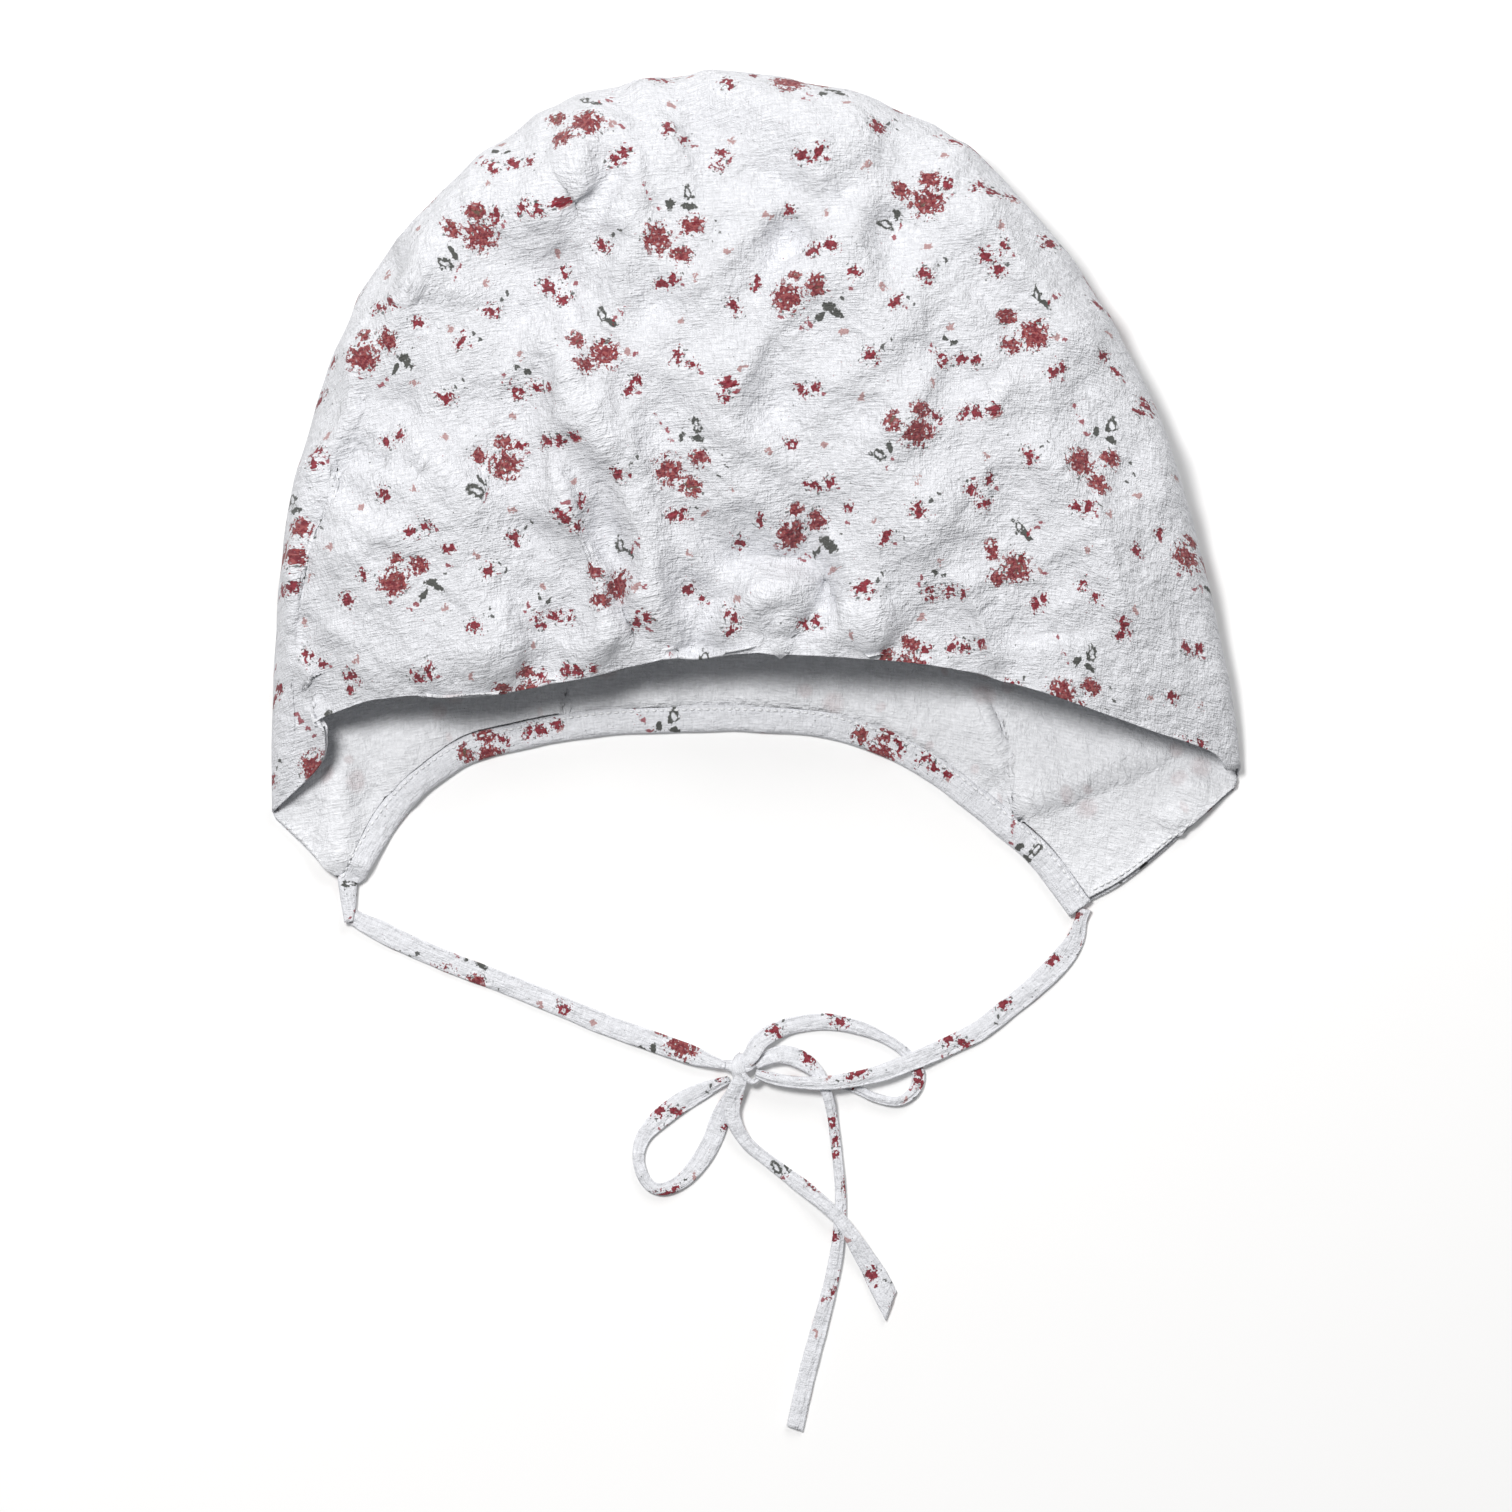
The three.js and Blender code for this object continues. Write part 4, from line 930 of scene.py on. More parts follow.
def outside(sizes, u, v):
    """Points of the bonnet's outside. u counts sections, v runs from the hem to the lower edge."""
    u, v = np.broadcast_arrays(np.asarray(u, float), np.asarray(v, float))
    height = sizes.crown_height
    fold = plan_point(sizes, u, "fold")
    fold_z = section_value("fold_z", u) * height
    on_top = v <= FOLD_AT
    end = np.where(on_top[..., None], plan_point(sizes, u, "hem"), plan_point(sizes, u, "edge"))
    end_z = np.where(on_top, section_value("hem_z", u), section_value("edge_z", u)) * height
    bend = np.where(on_top, section_value("round_top", u), section_value("round_under", u)) * height
    inward = end - fold
    reach = np.linalg.norm(inward, axis=-1)
    inward = inward / reach[..., None]
    top_z = section_value("top_z", u) * height
    swell = section_value("swell", u) * height
    t = np.clip(v / TOP_ENDS, 0, 1)
    turn = np.pi / 2 * np.clip((v - TOP_ENDS) / (FOLD_AT - TOP_ENDS), 0, 1)
    turn_under = np.pi / 2 * np.clip((v - FOLD_AT) / (ROUND_ENDS - FOLD_AT), 0, 1)
    t_under = np.clip((v - ROUND_ENDS) / (1 - ROUND_ENDS), 0, 1)
    stretch = [v <= TOP_ENDS, on_top, v <= ROUND_ENDS]
    distance = np.select(stretch, [
        reach + (bend - reach) * t, bend * (1 - np.sin(turn)), bend * (1 - np.cos(turn_under))],
        bend + (reach - bend) * t_under)
    z = np.select(stretch, [
        end_z + (top_z - end_z) * (1 - (1 - t) ** 2) + swell * np.sin(np.pi * t) ** 2,
        fold_z + (top_z - fold_z) * np.cos(turn), fold_z * (1 - np.sin(turn_under))],
        end_z * t_under ** 2)
    weight = np.select(stretch, [np.ones_like(v), np.cos(turn) ** 2, np.zeros_like(v)], t_under)
    x = fold[..., 0] + inward[..., 0] * distance
    y = fold[..., 1] + inward[..., 1] * distance
    lift = np.where(on_top, fold_lift(TOP_FOLDS, x, y), fold_lift(UNDER_FOLDS, x, y))
    return np.stack([x, y, np.maximum(z + weight * lift, 0)], -1)


def ripple(x, y, size, seed):
    """Smooth hills and hollows about size apart, from about -1 to 1."""
    count = 61
    slopes = np.random.default_rng(seed).uniform(-1, 1, (count, count, 2))
    i = np.floor(x / size).astype(int)
    j = np.floor(y / size).astype(int)
    fx = x / size - i
    fy = y / size - j

    def corner(di, dj):
        slope = slopes[(i + di) % count, (j + dj) % count]
        return slope[..., 0] * (fx - di) + slope[..., 1] * (fy - dj)

    wx = smooth_step(fx)
    wy = smooth_step(fy)
    low = corner(0, 0) * (1 - wx) + corner(1, 0) * wx
    high = corner(0, 1) * (1 - wx) + corner(1, 1) * wx
    return 1.6 * (low * (1 - wy) + high * wy)


def crumple(x, y):
    """Height of the cotton's unevenness at points of the flat cloth."""
    bent_x, bent_y = (c + WANDER * ripple(x, y, WANDER_SIZE, seed) for c, seed in zip((x, y), WANDER_SEEDS))
    total = 0
    for height, size, seed, squeeze_x, squeeze_y, is_sharp in CRUMPLES:
        wave = ripple(bent_x * squeeze_x, bent_y * squeeze_y, size, seed)
        total = total + height * (RIDGE_LEVEL - np.abs(wave) if is_sharp else wave)
    return total


def outward(grid):
    """Directions at right angles to a grid of points, away from the inside."""
    normal = np.cross(np.gradient(grid, axis=0), np.gradient(grid, axis=1))
    # the corners come to a point, so they take the direction of the cloth beside them
    normal[[0, -1]] = normal[[2, -3]]
    return normal / np.maximum(np.linalg.norm(normal, axis=-1, keepdims=True), 1e-12)


def draped(sizes, u, rows):
    """The bonnet's outside as a crumpled cloth, and its points seen as if rolled out flat."""
    grid = outside(sizes, u[:, None], rows)
    flat = unrolled(grid, rows)
    weight = 1 - LOST_AT_FOLD * smooth_step((rows - TOP_ENDS) / (FOLD_AT - TOP_ENDS))
    weight = weight * (1 - smooth_step((rows - FOLD_AT) / (ROUND_ENDS - FOLD_AT)))
    weight = weight * smooth_step(np.minimum(u, LAST - u) / CORNER_FADE)[:, None]
    share, start, length = CROWN_CRUMPLED
    weight = weight * (1 + share * smooth_step((flat[..., 1] - start) / length))
    share, start, length = RIGHT_CALMED
    weight = weight * (1 - share * smooth_step((flat[..., 0] - start) / length))
    grid = grid + outward(grid) * (weight * crumple(flat[..., 0], flat[..., 1]))[..., None]
    grid[..., 2] = np.maximum(grid[..., 2], 0)
    return grid, flat


def chart_place(x, y):
    """Where a point seen from above lies on the print's chart. The cloth's rows bend a little."""
    a = x / CHART_POINT
    b = -y / CHART_POINT
    slope, curve, middle = ROW_BEND
    depth, dip, reach = ROW_DIP
    sag = slope * (a - middle) + curve * (a - middle) ** 2 - depth * np.exp(-((a - dip) / reach) ** 2)
    fan, fan_across, fan_down = COLUMN_FAN
    across = a + CHART_START[0] + fan * (a - fan_across) * (b - fan_down)
    return np.stack([across, b + CHART_START[1] - sag, np.zeros_like(a)], -1)


def grid_faces(columns, rows):
    """Faces between neighbouring points of a grid."""
    at = np.arange(columns * rows).reshape(columns, rows)
    return np.stack([at[:-1, :-1], at[1:, :-1], at[1:, 1:], at[:-1, 1:]], -1).reshape(-1, 4)


def shell(front, back):
    """Points and faces of a cloth between two grids, closed round its edges."""
    columns, rows = front.shape[:2]
    count = columns * rows
    at = np.arange(count).reshape(columns, rows)
    ring = np.concatenate([at[:, 0], at[-1, 1:], at[-2::-1, -1], at[0, -2:0:-1]])
    beyond = np.roll(ring, -1)
    rim = np.stack([ring, ring + count, beyond + count, beyond], -1)
    faces = grid_faces(columns, rows)
    points = np.concatenate([front.reshape(-1, 3), back.reshape(-1, 3)])
    return points, np.concatenate([faces, faces[:, ::-1] + count, rim])


def sewn(name, points, faces, material, places, replaced=()):
    """Makes a piece of the bonnet. places are its points on the print's chart, for each corner."""
    mesh = bpy.data.meshes.new(name)
    mesh.from_pydata(points.tolist(), [], faces.tolist())
    mesh.shade_smooth()
    mesh.materials.append(material)
    attribute = mesh.attributes.new("print_place", "FLOAT_VECTOR", "CORNER")
    attribute.data.foreach_set("vector", places.astype(np.float32).ravel())
    piece = bpy.data.objects.new(name, mesh)
    bpy.context.scene.collection.objects.link(piece)
    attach(piece, "root")
    if replaced:
        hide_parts(*replaced)
    return piece


def even_columns(sizes, start, end, spacing):
    """Columns from start up to end, about spacing apart along the outer fold."""
    dense = np.linspace(start, end, 400)
    steps = np.linalg.norm(np.diff(plan_point(sizes, dense, "fold"), axis=0), axis=1)
    travelled = np.concatenate([[0], np.cumsum(steps)])
    count = max(2, round(travelled[-1] / spacing))
    return np.interp(np.arange(count) / count * travelled[-1], travelled, dense)


def smooth_line(points, count):
    """Evenly spaced points on a smooth curve through the given ones."""
    points = np.array(points, float)
    padded = np.concatenate([[2 * points[0] - points[1]], points, [2 * points[-1] - points[-2]]])
    f = np.linspace(0, 1, 24, endpoint=False)[:, None]
    pieces = []
    for a, b, c, d in zip(padded, padded[1:], padded[2:], padded[3:]):
        pieces.append(0.5 * (2 * b + (c - a) * f + (2 * a - 5 * b + 4 * c - d) * f ** 2
                             + (3 * b - a - 3 * c + d) * f ** 3))
    line = np.concatenate(pieces + [points[-1:]])
    steps = np.linalg.norm(np.diff(line[:, :3], axis=0), axis=1)
    travelled = np.concatenate([[0], np.cumsum(steps)])
    even = np.linspace(0, travelled[-1], count)
    return np.stack([np.interp(even, travelled, values) for values in line.T], -1)


def seam_line(sizes, margin, count):
    """Columns and shares of the seam round the back panel, moved out by a margin."""
    line = smooth_line(BACK_SEAM, count)
    middle = (BACK_SEAM_FROM + BACK_SEAM_TO) / 2
    half = (BACK_SEAM_TO - BACK_SEAM_FROM) / 2
    ends = plan_point(sizes, np.array([BACK_SEAM_FROM, BACK_SEAM_TO]), "edge")
    span = np.linalg.norm(ends[1] - ends[0])
    u = middle + half * line[:, 0] * (1 + 2 * margin / span)
    up = line[:, 1] * sizes.back_panel_height + margin
    up[[0, -1]] = 0
    fold = plan_point(sizes, u, "fold")
    reach = np.linalg.norm(fold - plan_point(sizes, u, "edge"), axis=-1)
    flat = reach - section_value("round_under", u) * sizes.crown_height
    return u, 1 - (1 - ROUND_ENDS) * np.maximum(up, 0) / flat


def edge_share(sizes, u, length, line):
    """Share of the way round that a length along the cloth takes, beside the hem or lower edge."""
    reach = np.linalg.norm(plan_point(sizes, u, "fold") - plan_point(sizes, u, line), axis=-1)
    return (TOP_ENDS if line == "hem" else 1 - ROUND_ENDS) * length / reach


def band_layout(sizes, spacing, counts, set_back, margin):
    """Columns and rows of the band, which ends at the back panel's seam where that is."""
    seam_u, seam_v = seam_line(sizes, margin, round(0.25 / spacing))
    beside = [
        even_columns(sizes, 0, LEFT_CHIN, spacing),
        even_columns(sizes, LEFT_CHIN, seam_u[0], spacing),
        even_columns(sizes, seam_u[-1], RIGHT_CHIN, spacing),
        even_columns(sizes, RIGHT_CHIN, LAST, spacing),
    ]
    u = np.concatenate([beside[0], beside[1], seam_u[:-1], beside[2], beside[3], [LAST]])
    lead = len(beside[0]) + len(beside[1])
    end = 1 - edge_share(sizes, u, set_back, "edge")
    end[lead:lead + len(seam_v) - 1] = np.minimum(seam_v[:-1], end[lead:lead + len(seam_v) - 1])
    start = np.minimum(edge_share(sizes, u, set_back, "hem"), MOST_SET_BACK)
    rim = np.minimum(edge_share(sizes, u, RIM, "hem"), MOST_RIM)
    marks = [start + rim, np.full_like(u, TOP_ENDS), np.full_like(u, FOLD_AT),
             np.full_like(u, ROUND_ENDS), end - rim]
    rows = [start[:, None]]
    for low, high, count in zip(marks, marks[1:], counts):
        rows.append(low[:, None] + (high - low)[:, None] * np.arange(count) / count)
    rows += [marks[-1][:, None], end[:, None]]
    return u, np.concatenate(rows, 1)


def unrolled(grid, rows):
    """Places of a band's points on its cloth, as if it were rolled out flat past the fold."""
    last = int((rows[len(rows) // 2] <= TOP_ENDS + 1e-9).sum()) - 1
    flat = grid[..., :2].copy()
    run = flat[:, last] - flat[:, 0]
    run /= np.maximum(np.linalg.norm(run, axis=-1, keepdims=True), 1e-9)
    steps = np.linalg.norm(np.diff(grid[:, last:], axis=1), axis=-1)
    travelled = np.concatenate([np.zeros((len(grid), 1)), np.cumsum(steps, 1)], 1)
    flat[:, last:] = flat[:, last:last + 1] + run[:, None] * travelled[..., None]
    return flat


def corner_places(faces, near, far, is_far):
    """Chart places for the corners of faces, from one of two sets of places."""
    return np.where(is_far[:, None, None], far[faces], near[faces]).reshape(-1, 3)


class BONNET_OT_stage(bpy.types.Operator):
    """Camera straight above, soft light and the pale floor"""

    bl_idname = "bonnet.stage"
    bl_label = "Stage"

    def execute(self, context):
        scene = context.scene
        camera = bpy.data.objects.new("camera", bpy.data.cameras.new("camera"))
        camera.location = (*PICTURE_CENTRE, CAMERA_HEIGHT)
        camera.data.sensor_width = SENSOR_WIDTH * 1000
        camera.data.lens = SENSOR_WIDTH * 1000 * (CAMERA_HEIGHT - PICTURE_HEIGHT) / PICTURE_WIDTH
        camera.data.clip_end = FAR_CLIP
        scene.collection.objects.link(camera)
        scene.camera = camera
        for name, place, size, power in LIGHTS:
            light = bpy.data.objects.new(name, bpy.data.lights.new(name, "AREA"))
            light.data.size = size
            light.data.energy = power
            light.data.color = LIGHT_COLOUR
            light.location = place
            aim = np.array(LIGHT_AIM) - np.array(place)
            light.rotation_mode = "QUATERNION"
            light.rotation_quaternion = Vector(aim).to_track_quat("-Z", "Y")
            light.visible_camera = False
            scene.collection.objects.link(light)
        world = bpy.data.worlds.new("room")
        world.use_nodes = True
        background = world.node_tree.nodes["Background"]
        background.inputs["Color"].default_value = ROOM_COLOUR
        background.inputs["Strength"].default_value = ROOM_STRENGTH
        scene.world = world
        scene.view_settings.view_transform = "Standard"
        mesh = bpy.data.meshes.new("floor")
        corners = [(x * FLOOR_REACH, y * FLOOR_REACH, -FLOOR_DROP)
                   for x, y in ((-1, -1), (1, -1), (1, 1), (-1, 1))]
        mesh.from_pydata(corners, [], [(0, 1, 2, 3)])
        mesh.materials.append(floor_finish(scene.bonnet_colours))
        floor = bpy.data.objects.new("floor", mesh)
        scene.collection.objects.link(floor)
        return {"FINISHED"}


def tape_rings(points, widths, thickness, sides, cut=0.0):
    """Rings of a flat, folded tape along its middle line, resting on the floor where it is low."""
    run = np.gradient(points, axis=0)
    run /= np.linalg.norm(run, axis=1, keepdims=True)
    across = np.stack([-run[:, 1], run[:, 0], np.zeros(len(run))], -1)
    across /= np.linalg.norm(across, axis=1, keepdims=True)
    up = np.cross(run, across)
    travelled = np.concatenate([[0], np.cumsum(np.linalg.norm(np.diff(points, axis=0), axis=1))])
    angle = np.arange(sides) / sides * 2 * np.pi
    side_share = np.sign(np.cos(angle)) * np.abs(np.cos(angle)) ** SIDE_ROUNDING / 2
    up_share = np.sign(np.sin(angle)) * np.abs(np.sin(angle)) ** TOP_ROUNDING / 2
    groove = np.exp(-((side_share - GROOVE_AT) / GROOVE_WIDTH) ** 2)
    up_share = up_share - GROOVE_DEPTH * (up_share > 0) * groove
    rolled = np.clip((ROLLED_BELOW - widths) / ROLLED_OVER, 0, 1)
    thick = thickness * (1 + ROLLED_THICKER * rolled)
    amount, size, seed = TAPE_UNEVEN
    uneven = 1 + amount * ripple(travelled, travelled * 0, size, seed)
    amount, size, seed = TAPE_TILT
    tilt = amount * ripple(travelled, travelled * 0 + 0.3, size, seed)
    side = side_share[None] * (widths * uneven)[:, None]
    lift = up_share[None] * thick[:, None]
    amount, size, seed = TAPE_SWELL
    swell = 1 + amount * ripple(travelled[:, None] + 0 * side, side * 2 + 0.1, size, seed)
    lift = lift * swell + side * tilt[:, None]
    near_end = smooth_step((travelled - travelled[-1] + CUT_LENGTH) / CUT_LENGTH)
    lengthways = cut * side * near_end[:, None]
    rings = (points[:, None] + across[:, None] * side[..., None] + up[:, None] * lift[..., None]
             + run[:, None] * lengthways[..., None])
    below = np.minimum(rings[..., 2].min(1) - ABOVE_FLOOR, 0)
    rings[..., 2] -= below[:, None]
    girth = np.cumsum(np.linalg.norm(np.diff(rings, axis=1, append=rings[:, :1]), axis=-1), 1)
    girth = np.concatenate([np.zeros((len(rings), 1)), girth], 1)
    return rings, travelled, girth


def tube_faces(rings, sides):
    """Faces of a tube through rings, with a cap on each end."""
    i, j = np.meshgrid(np.arange(rings - 1), np.arange(sides), indexing="ij")
    beyond = (j + 1) % sides
    faces = np.stack([i * sides + j, (i + 1) * sides + j, (i + 1) * sides + beyond, i * sides + beyond], -1)
    half = sides // 2
    k = np.arange(half - 1)
    first = np.stack([k, k + 1, sides - 2 - k, sides - 1 - k], -1)
    return np.concatenate([faces.reshape(-1, 4), first, first[:, ::-1] + (rings - 1) * sides])


def tube_places(rings, sides, travelled, girth, start):
    """Chart places of a tube's corners, so that the print runs on round it."""
    i, j = np.meshgrid(np.arange(rings - 1), np.arange(sides), indexing="ij")
    along = np.stack([travelled[i], travelled[i + 1], travelled[i + 1], travelled[i]], -1)
    round_it = np.stack([girth[i, j], girth[i + 1, j], girth[i + 1, j + 1], girth[i, j + 1]], -1)
    places = np.stack([along, round_it, 0 * along], -1).reshape(-1, 3) / CHART_POINT
    caps = np.zeros((8 * (sides // 2 - 1), 3))
    return np.concatenate([places, caps]) + (*start, 0)


class BONNET_OT_ties(bpy.types.Operator):
    """Both ties, the two loops of the bow, the free ends and the knot"""

    bl_idname = "bonnet.ties"
    bl_label = "Ties and bow"

    def execute(self, context):
        sizes = context.scene.bonnet_sizes
        colours = context.scene.bonnet_colours
        tape = cotton("printed_tape", colours, colours.cotton, TAPE_RELIEF)
        knot = self.knot(tape)
        for name, (length, far_end, start) in CORDS.items():
            line = smooth_line(ROUTES[name], round(length / RING_STEP))
            points = line[:, :3]
            cut = LEFT_CUT if name == "tie_end_left" else RIGHT_CUT
            rings, travelled, girth = tape_rings(
                points, line[:, 3], sizes.tie_thickness, TAPE_SIDES, cut if far_end == "bare" else 0)
            piece = sewn(
                name + "_tape", rings.reshape(-1, 3), tube_faces(len(rings), TAPE_SIDES), tape,
                tube_places(len(rings), TAPE_SIDES, travelled, girth, start), [name])
        return {"FINISHED"}

    def knot(self, tape):
        """Three turns of tape drawn tight round each other."""
        points, faces, places = [], [], []
        for route, start in KNOT_TURNS:
            line = smooth_line(route, KNOT_RINGS)
            rings, travelled, girth = tape_rings(
                line[:, :3], line[:, 3], KNOT_TAPE_THICKNESS, KNOT_SIDES)
            faces.append(tube_faces(len(rings), KNOT_SIDES) + sum(len(p) for p in points))
            points.append(rings.reshape(-1, 3))
            places.append(tube_places(len(rings), KNOT_SIDES, travelled, girth, start))
        return sewn(
            "bow_knot_turns", np.concatenate(points), np.concatenate(faces), tape,
            np.concatenate(places), ["bow_knot"])


class BONNET_OT_outer(bpy.types.Operator):
    """The printed band and the printed back panel"""

    bl_idname = "bonnet.outer"
    bl_label = "Printed cotton"

    def execute(self, context):
        sizes = context.scene.bonnet_sizes
        colours = context.scene.bonnet_colours
        print_cotton = cotton("printed_cotton", colours, colours.cotton, PRINTED_RELIEF)
        u, rows = band_layout(sizes, BAND_SPACING, BAND_ROWS, 0, sizes.seam_gap / 2)
        grid, flat = draped(sizes, u, rows)
        points, faces = shell(grid, grid - outward(grid) * sizes.cloth)
        near = np.tile(chart_place(flat[..., 0], flat[..., 1]).reshape(-1, 3), (2, 1))
        across = UNDERSIDE_CHART_ACROSS - grid[..., 0] / CHART_POINT
        below = np.stack([across, -grid[..., 1] / CHART_POINT, 0 * rows], -1)
        far = np.tile(below.reshape(-1, 3), (2, 1))
        row_share = np.tile(rows.ravel(), 2)
        is_far = row_share[faces].min(1) >= ROUND_ENDS - 1e-9
        sewn("printed_band", points, faces, print_cotton,
             corner_places(faces, near, far, is_far), ["crown_band"])

        u, seam = seam_line(sizes, -sizes.seam_gap / 2, BACK_COLUMNS)
        seam = np.minimum(seam, 1 - edge_share(sizes, u, BACK_CORNER, "edge"))
        rows = seam[:, None] + (1 - seam)[:, None] * np.linspace(0, 1, BACK_ROWS)
        grid = outside(sizes, u[:, None], rows)
        points, faces = shell(grid, grid - outward(grid) * sizes.cloth)
        down = BACK_CHART_DOWN - grid[..., 1] / CHART_POINT
        place = np.stack([-grid[..., 0] / CHART_POINT, down, 0 * rows], -1)
        sewn("printed_back_panel", points, faces, print_cotton,
             np.tile(place.reshape(-1, 3), (2, 1))[faces].reshape(-1, 3), ["back_panel"])
        return {"FINISHED"}


class BONNET_OT_lining(bpy.types.Operator):
    """The white lining of the band and of the back panel"""

    bl_idname = "bonnet.lining"
    bl_label = "Lining"

    def execute(self, context):
        sizes = context.scene.bonnet_sizes
        colours = context.scene.bonnet_colours
        white = cotton("white_lining", colours, colours.lining, LINING_RELIEF, False)
        u, rows = band_layout(sizes, LINING_SPACING, LINING_ROWS, LINING_SET_BACK, -LINING_LAP)
        self.layer(sizes, u, rows, "lining_of_band", white, "lining_band")
        u, seam = seam_line(sizes, BACK_LINING_LAP, BACK_LINING_COLUMNS)
        end = 1 - edge_share(sizes, u, BACK_LINING_SET_BACK, "edge")
        seam = np.minimum(seam, end - edge_share(sizes, u, BACK_LINING_CORNER, "edge"))
        rows = seam[:, None] + (end - seam)[:, None] * np.linspace(0, 1, BACK_LINING_ROWS)
        self.layer(sizes, u, rows, "lining_of_back", white, "lining_back")
        return {"FINISHED"}

    def layer(self, sizes, u, rows, name, white, replaced):
        """Lining along the inside of the outer cloth, slack on top and wavy on the floor."""
        grid = draped(sizes, u, rows)[0] if replaced == "lining_band" else outside(sizes, u[:, None], rows)
        slack = SLACK * smooth_step(rows / SLACK_STARTS)
        slack = slack * (1 - smooth_step((rows - TOP_ENDS) / SLACK_ENDS))
        loose = smooth_step((rows - ROUND_ENDS) / WAVES_START)
        height, size, seed, level = LINING_WAVES
        wave = height * (level + ripple(grid[..., 0], grid[..., 1], size, seed))
        height, size, seed, level = LINING_PLEATS
        wave = wave + height * (level - np.abs(ripple(grid[..., 0], grid[..., 1], size, seed)))
        tucked = LAP_STEP if replaced == "lining_back" else 0
        front = grid - outward(grid) * (
            sizes.lining_depth - tucked + np.maximum(loose * wave, 0))[..., None]
        front[..., 2] -= slack
        points, faces = shell(front, front - outward(grid) * sizes.cloth)
        place = chart_place(-grid[..., 0], grid[..., 1]).reshape(-1, 3)
        sewn(name, points, faces, white,
             np.tile(place, (2, 1))[faces].reshape(-1, 3), [replaced])


class BONNET_OT_binding(bpy.types.Operator):
    """The printed strip that binds the neck edge, with its tab at the left chin"""

    bl_idname = "bonnet.binding"
    bl_label = "Neck binding"

    def execute(self, context):
        sizes = context.scene.bonnet_sizes
        colours = context.scene.bonnet_colours
        tape = cotton("printed_binding", colours, colours.cotton, TAPE_RELIEF)
        edge = outside(sizes, np.linspace(LEFT_CHIN, RIGHT_CHIN, BINDING_STEPS), 1.0)
        tab = np.array([edge[0] + np.array((*TAB_RUN, 0)) * t for t in np.linspace(1, 0.1, TAB_STEPS)])
        line = np.concatenate([tab, edge])
        run = np.gradient(line, axis=0)
        run[:, 2] = 0
        run /= np.linalg.norm(run, axis=1, keepdims=True)
        out = np.stack([run[:, 1], -run[:, 0], 0 * run[:, 0]], -1)
        for _ in range(SMOOTHING):
            out[1:-1] = (out[:-2] + out[1:-1] + out[2:]) / 3
        out /= np.linalg.norm(out, axis=1, keepdims=True)
        travelled = np.concatenate([[0], np.cumsum(np.linalg.norm(np.diff(line, axis=0), axis=1))])
        amount, size, seed = BINDING_UNEVEN
        width = sizes.binding_width * (1 + amount * ripple(travelled, travelled * 0, size, seed))
        last = TAB_WIDENS - 1
        width[:TAB_WIDENS] = np.interp(np.arange(TAB_WIDENS), *zip(*TAB_WIDTHS, (last, width[last])))
        profile = np.array(BINDING_PROFILE)
        amount, size, seed = BINDING_PUCKER
        pucker = 1 + amount * ripple(
            travelled[:, None] + 0 * profile[None, :, 0],
            profile[None, :, 0] * 0.004 + 0 * travelled[:, None], size, seed)
        side = profile[None, :, 0] * width[:, None]
        height = profile[None, :, 1] * sizes.binding_height * pucker
        rings = line[:, None] + out[:, None] * side[..., None]
        rings[..., 2] += height
        girth = np.cumsum(np.linalg.norm(np.diff(rings, axis=1, append=rings[:, :1]), axis=-1), 1)
        girth = np.concatenate([np.zeros((len(rings), 1)), girth], 1)
        sides = len(profile)
        sewn("neck_binding_strip", rings.reshape(-1, 3), tube_faces(len(rings), sides), tape,
             tube_places(len(rings), sides, travelled, girth, BINDING_CHART_START),
             ["neck_binding"])
        return {"FINISHED"}


def stitches(line, up, sizes):
    """Points and faces of a row of stitches on a line."""
    steps = np.linalg.norm(np.diff(line, axis=0), axis=1)
    travelled = np.concatenate([[0], np.cumsum(steps)])
    pitch = sizes.stitch_length + sizes.stitch_gap
    points, faces = [], []
    for k in range(int(travelled[-1] / pitch)):
        span = k * pitch + sizes.stitch_length * np.linspace(0, 1, STITCH_RINGS)
        middle = np.stack([np.interp(span, travelled, c) for c in line.T], -1)
        top = np.array([np.interp(span[STITCH_RINGS // 2], travelled, c) for c in up.T])
        run = middle[-1] - middle[0]
        run /= np.linalg.norm(run)
        side = np.cross(run, top)
        round_off = np.sin(np.pi * np.linspace(0.08, 0.92, STITCH_RINGS)) ** 0.5
        angle = np.arange(STITCH_SIDES) / STITCH_SIDES * 2 * np.pi
        ring = np.cos(angle)[None, :, None] * side + np.sin(angle)[None, :, None] * top * STITCH_FLATNESS
        body = middle[:, None] + ring * (round_off * sizes.thread / 2)[:, None, None]
        body = body + top * ((round_off - STITCH_FLATNESS) * sizes.thread)[:, None, None]
        faces.append(tube_faces(STITCH_RINGS, STITCH_SIDES) + k * STITCH_RINGS * STITCH_SIDES)
        points.append(body.reshape(-1, 3))
    return np.concatenate(points), np.concatenate(faces)


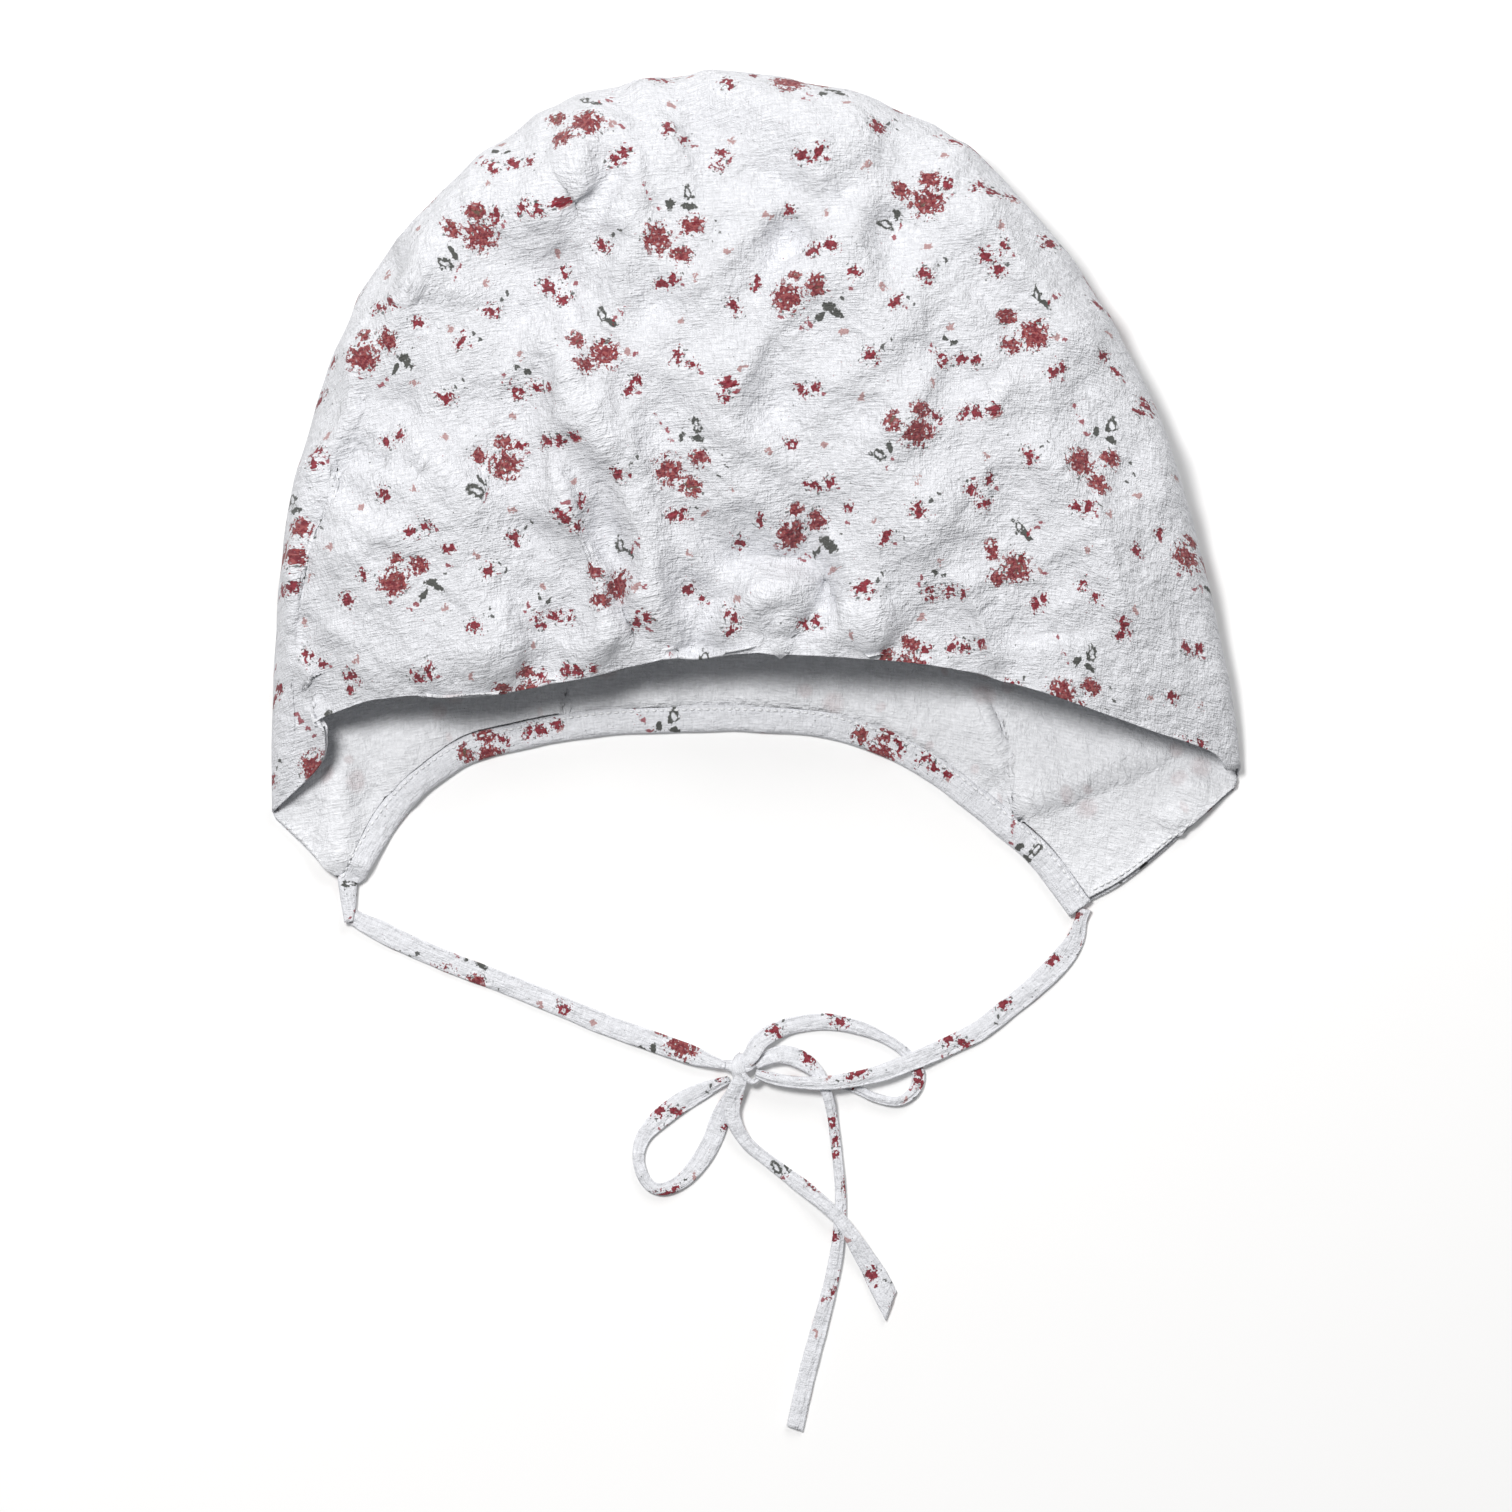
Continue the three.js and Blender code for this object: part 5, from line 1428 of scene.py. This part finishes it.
class BONNET_OT_stitches(bpy.types.Operator):
    """White stitches along the binding and the side hems"""

    bl_idname = "bonnet.stitches"
    bl_label = "Stitches"

    def execute(self, context):
        sizes = context.scene.bonnet_sizes
        thread = thread_finish(context.scene.bonnet_colours)
        rows = []
        edge = outside(sizes, np.linspace(*BINDING_ROW, 500), 1.0)
        run = np.gradient(edge, axis=0)
        run[:, 2] = 0
        run /= np.linalg.norm(run, axis=1, keepdims=True)
        out = np.stack([run[:, 1], -run[:, 0], 0 * run[:, 0]], -1)
        line = edge + out * BINDING_ROW_OUT
        line[:, 2] += sizes.binding_height
        rows.append((line, np.tile((0, 0, 1.0), (len(line), 1))))
        for start, end in HEM_ROWS:
            u = np.linspace(start, end, 160)
            v = 1 - edge_share(sizes, u, HEM_ROW_IN, "edge")
            grid = outside(sizes, u[:, None], v[:, None] + np.array([-0.002, 0, 0.002]))
            inward = -outward(grid)[:, 1]
            line = grid[:, 1] + inward * (sizes.lining_depth + sizes.cloth + HEM_ROW_ABOVE)
            rows.append((line, inward))
        points, faces = [], []
        for line, up in rows:
            row_points, row_faces = stitches(line, up, sizes)
            faces.append(row_faces + sum(len(p) for p in points))
            points.append(row_points)
        points = np.concatenate(points)
        faces = np.concatenate(faces)
        sewn("hem_stitches", points, faces, thread, np.zeros((faces.size, 3)))
        return {"FINISHED"}


class BONNET_PT_panel(bpy.types.Panel):
    """Sizes, colours and pieces of the bonnet"""

    bl_idname = "BONNET_PT_panel"
    bl_label = "Baby bonnet"
    bl_space_type = "VIEW_3D"
    bl_region_type = "UI"
    bl_category = "Bonnet"

    def draw(self, context):
        for group in (context.scene.bonnet_sizes, context.scene.bonnet_colours):
            for name in group.__annotations__:
                self.layout.prop(group, name)
        for operator in OPERATORS:
            self.layout.operator(operator.bl_idname)


OPERATORS = (
    BONNET_OT_stage, BONNET_OT_ties, BONNET_OT_outer, BONNET_OT_lining, BONNET_OT_binding,
    BONNET_OT_stitches,
)
CLASSES = (BonnetSizes, BonnetColours, *OPERATORS, BONNET_PT_panel)


def register():
    for each in CLASSES:
        bpy.utils.register_class(each)
    bpy.types.Scene.bonnet_sizes = bpy.props.PointerProperty(type=BonnetSizes)
    bpy.types.Scene.bonnet_colours = bpy.props.PointerProperty(type=BonnetColours)


def unregister():
    del bpy.types.Scene.bonnet_colours
    del bpy.types.Scene.bonnet_sizes
    for each in reversed(CLASSES):
        bpy.utils.unregister_class(each)


def main():
    register()
    bpy.ops.bonnet.stage()
    bpy.ops.bonnet.ties()
    bpy.ops.bonnet.outer()
    bpy.ops.bonnet.lining()
    bpy.ops.bonnet.binding()
    bpy.ops.bonnet.stitches()


if __name__ == "__main__":
    main()
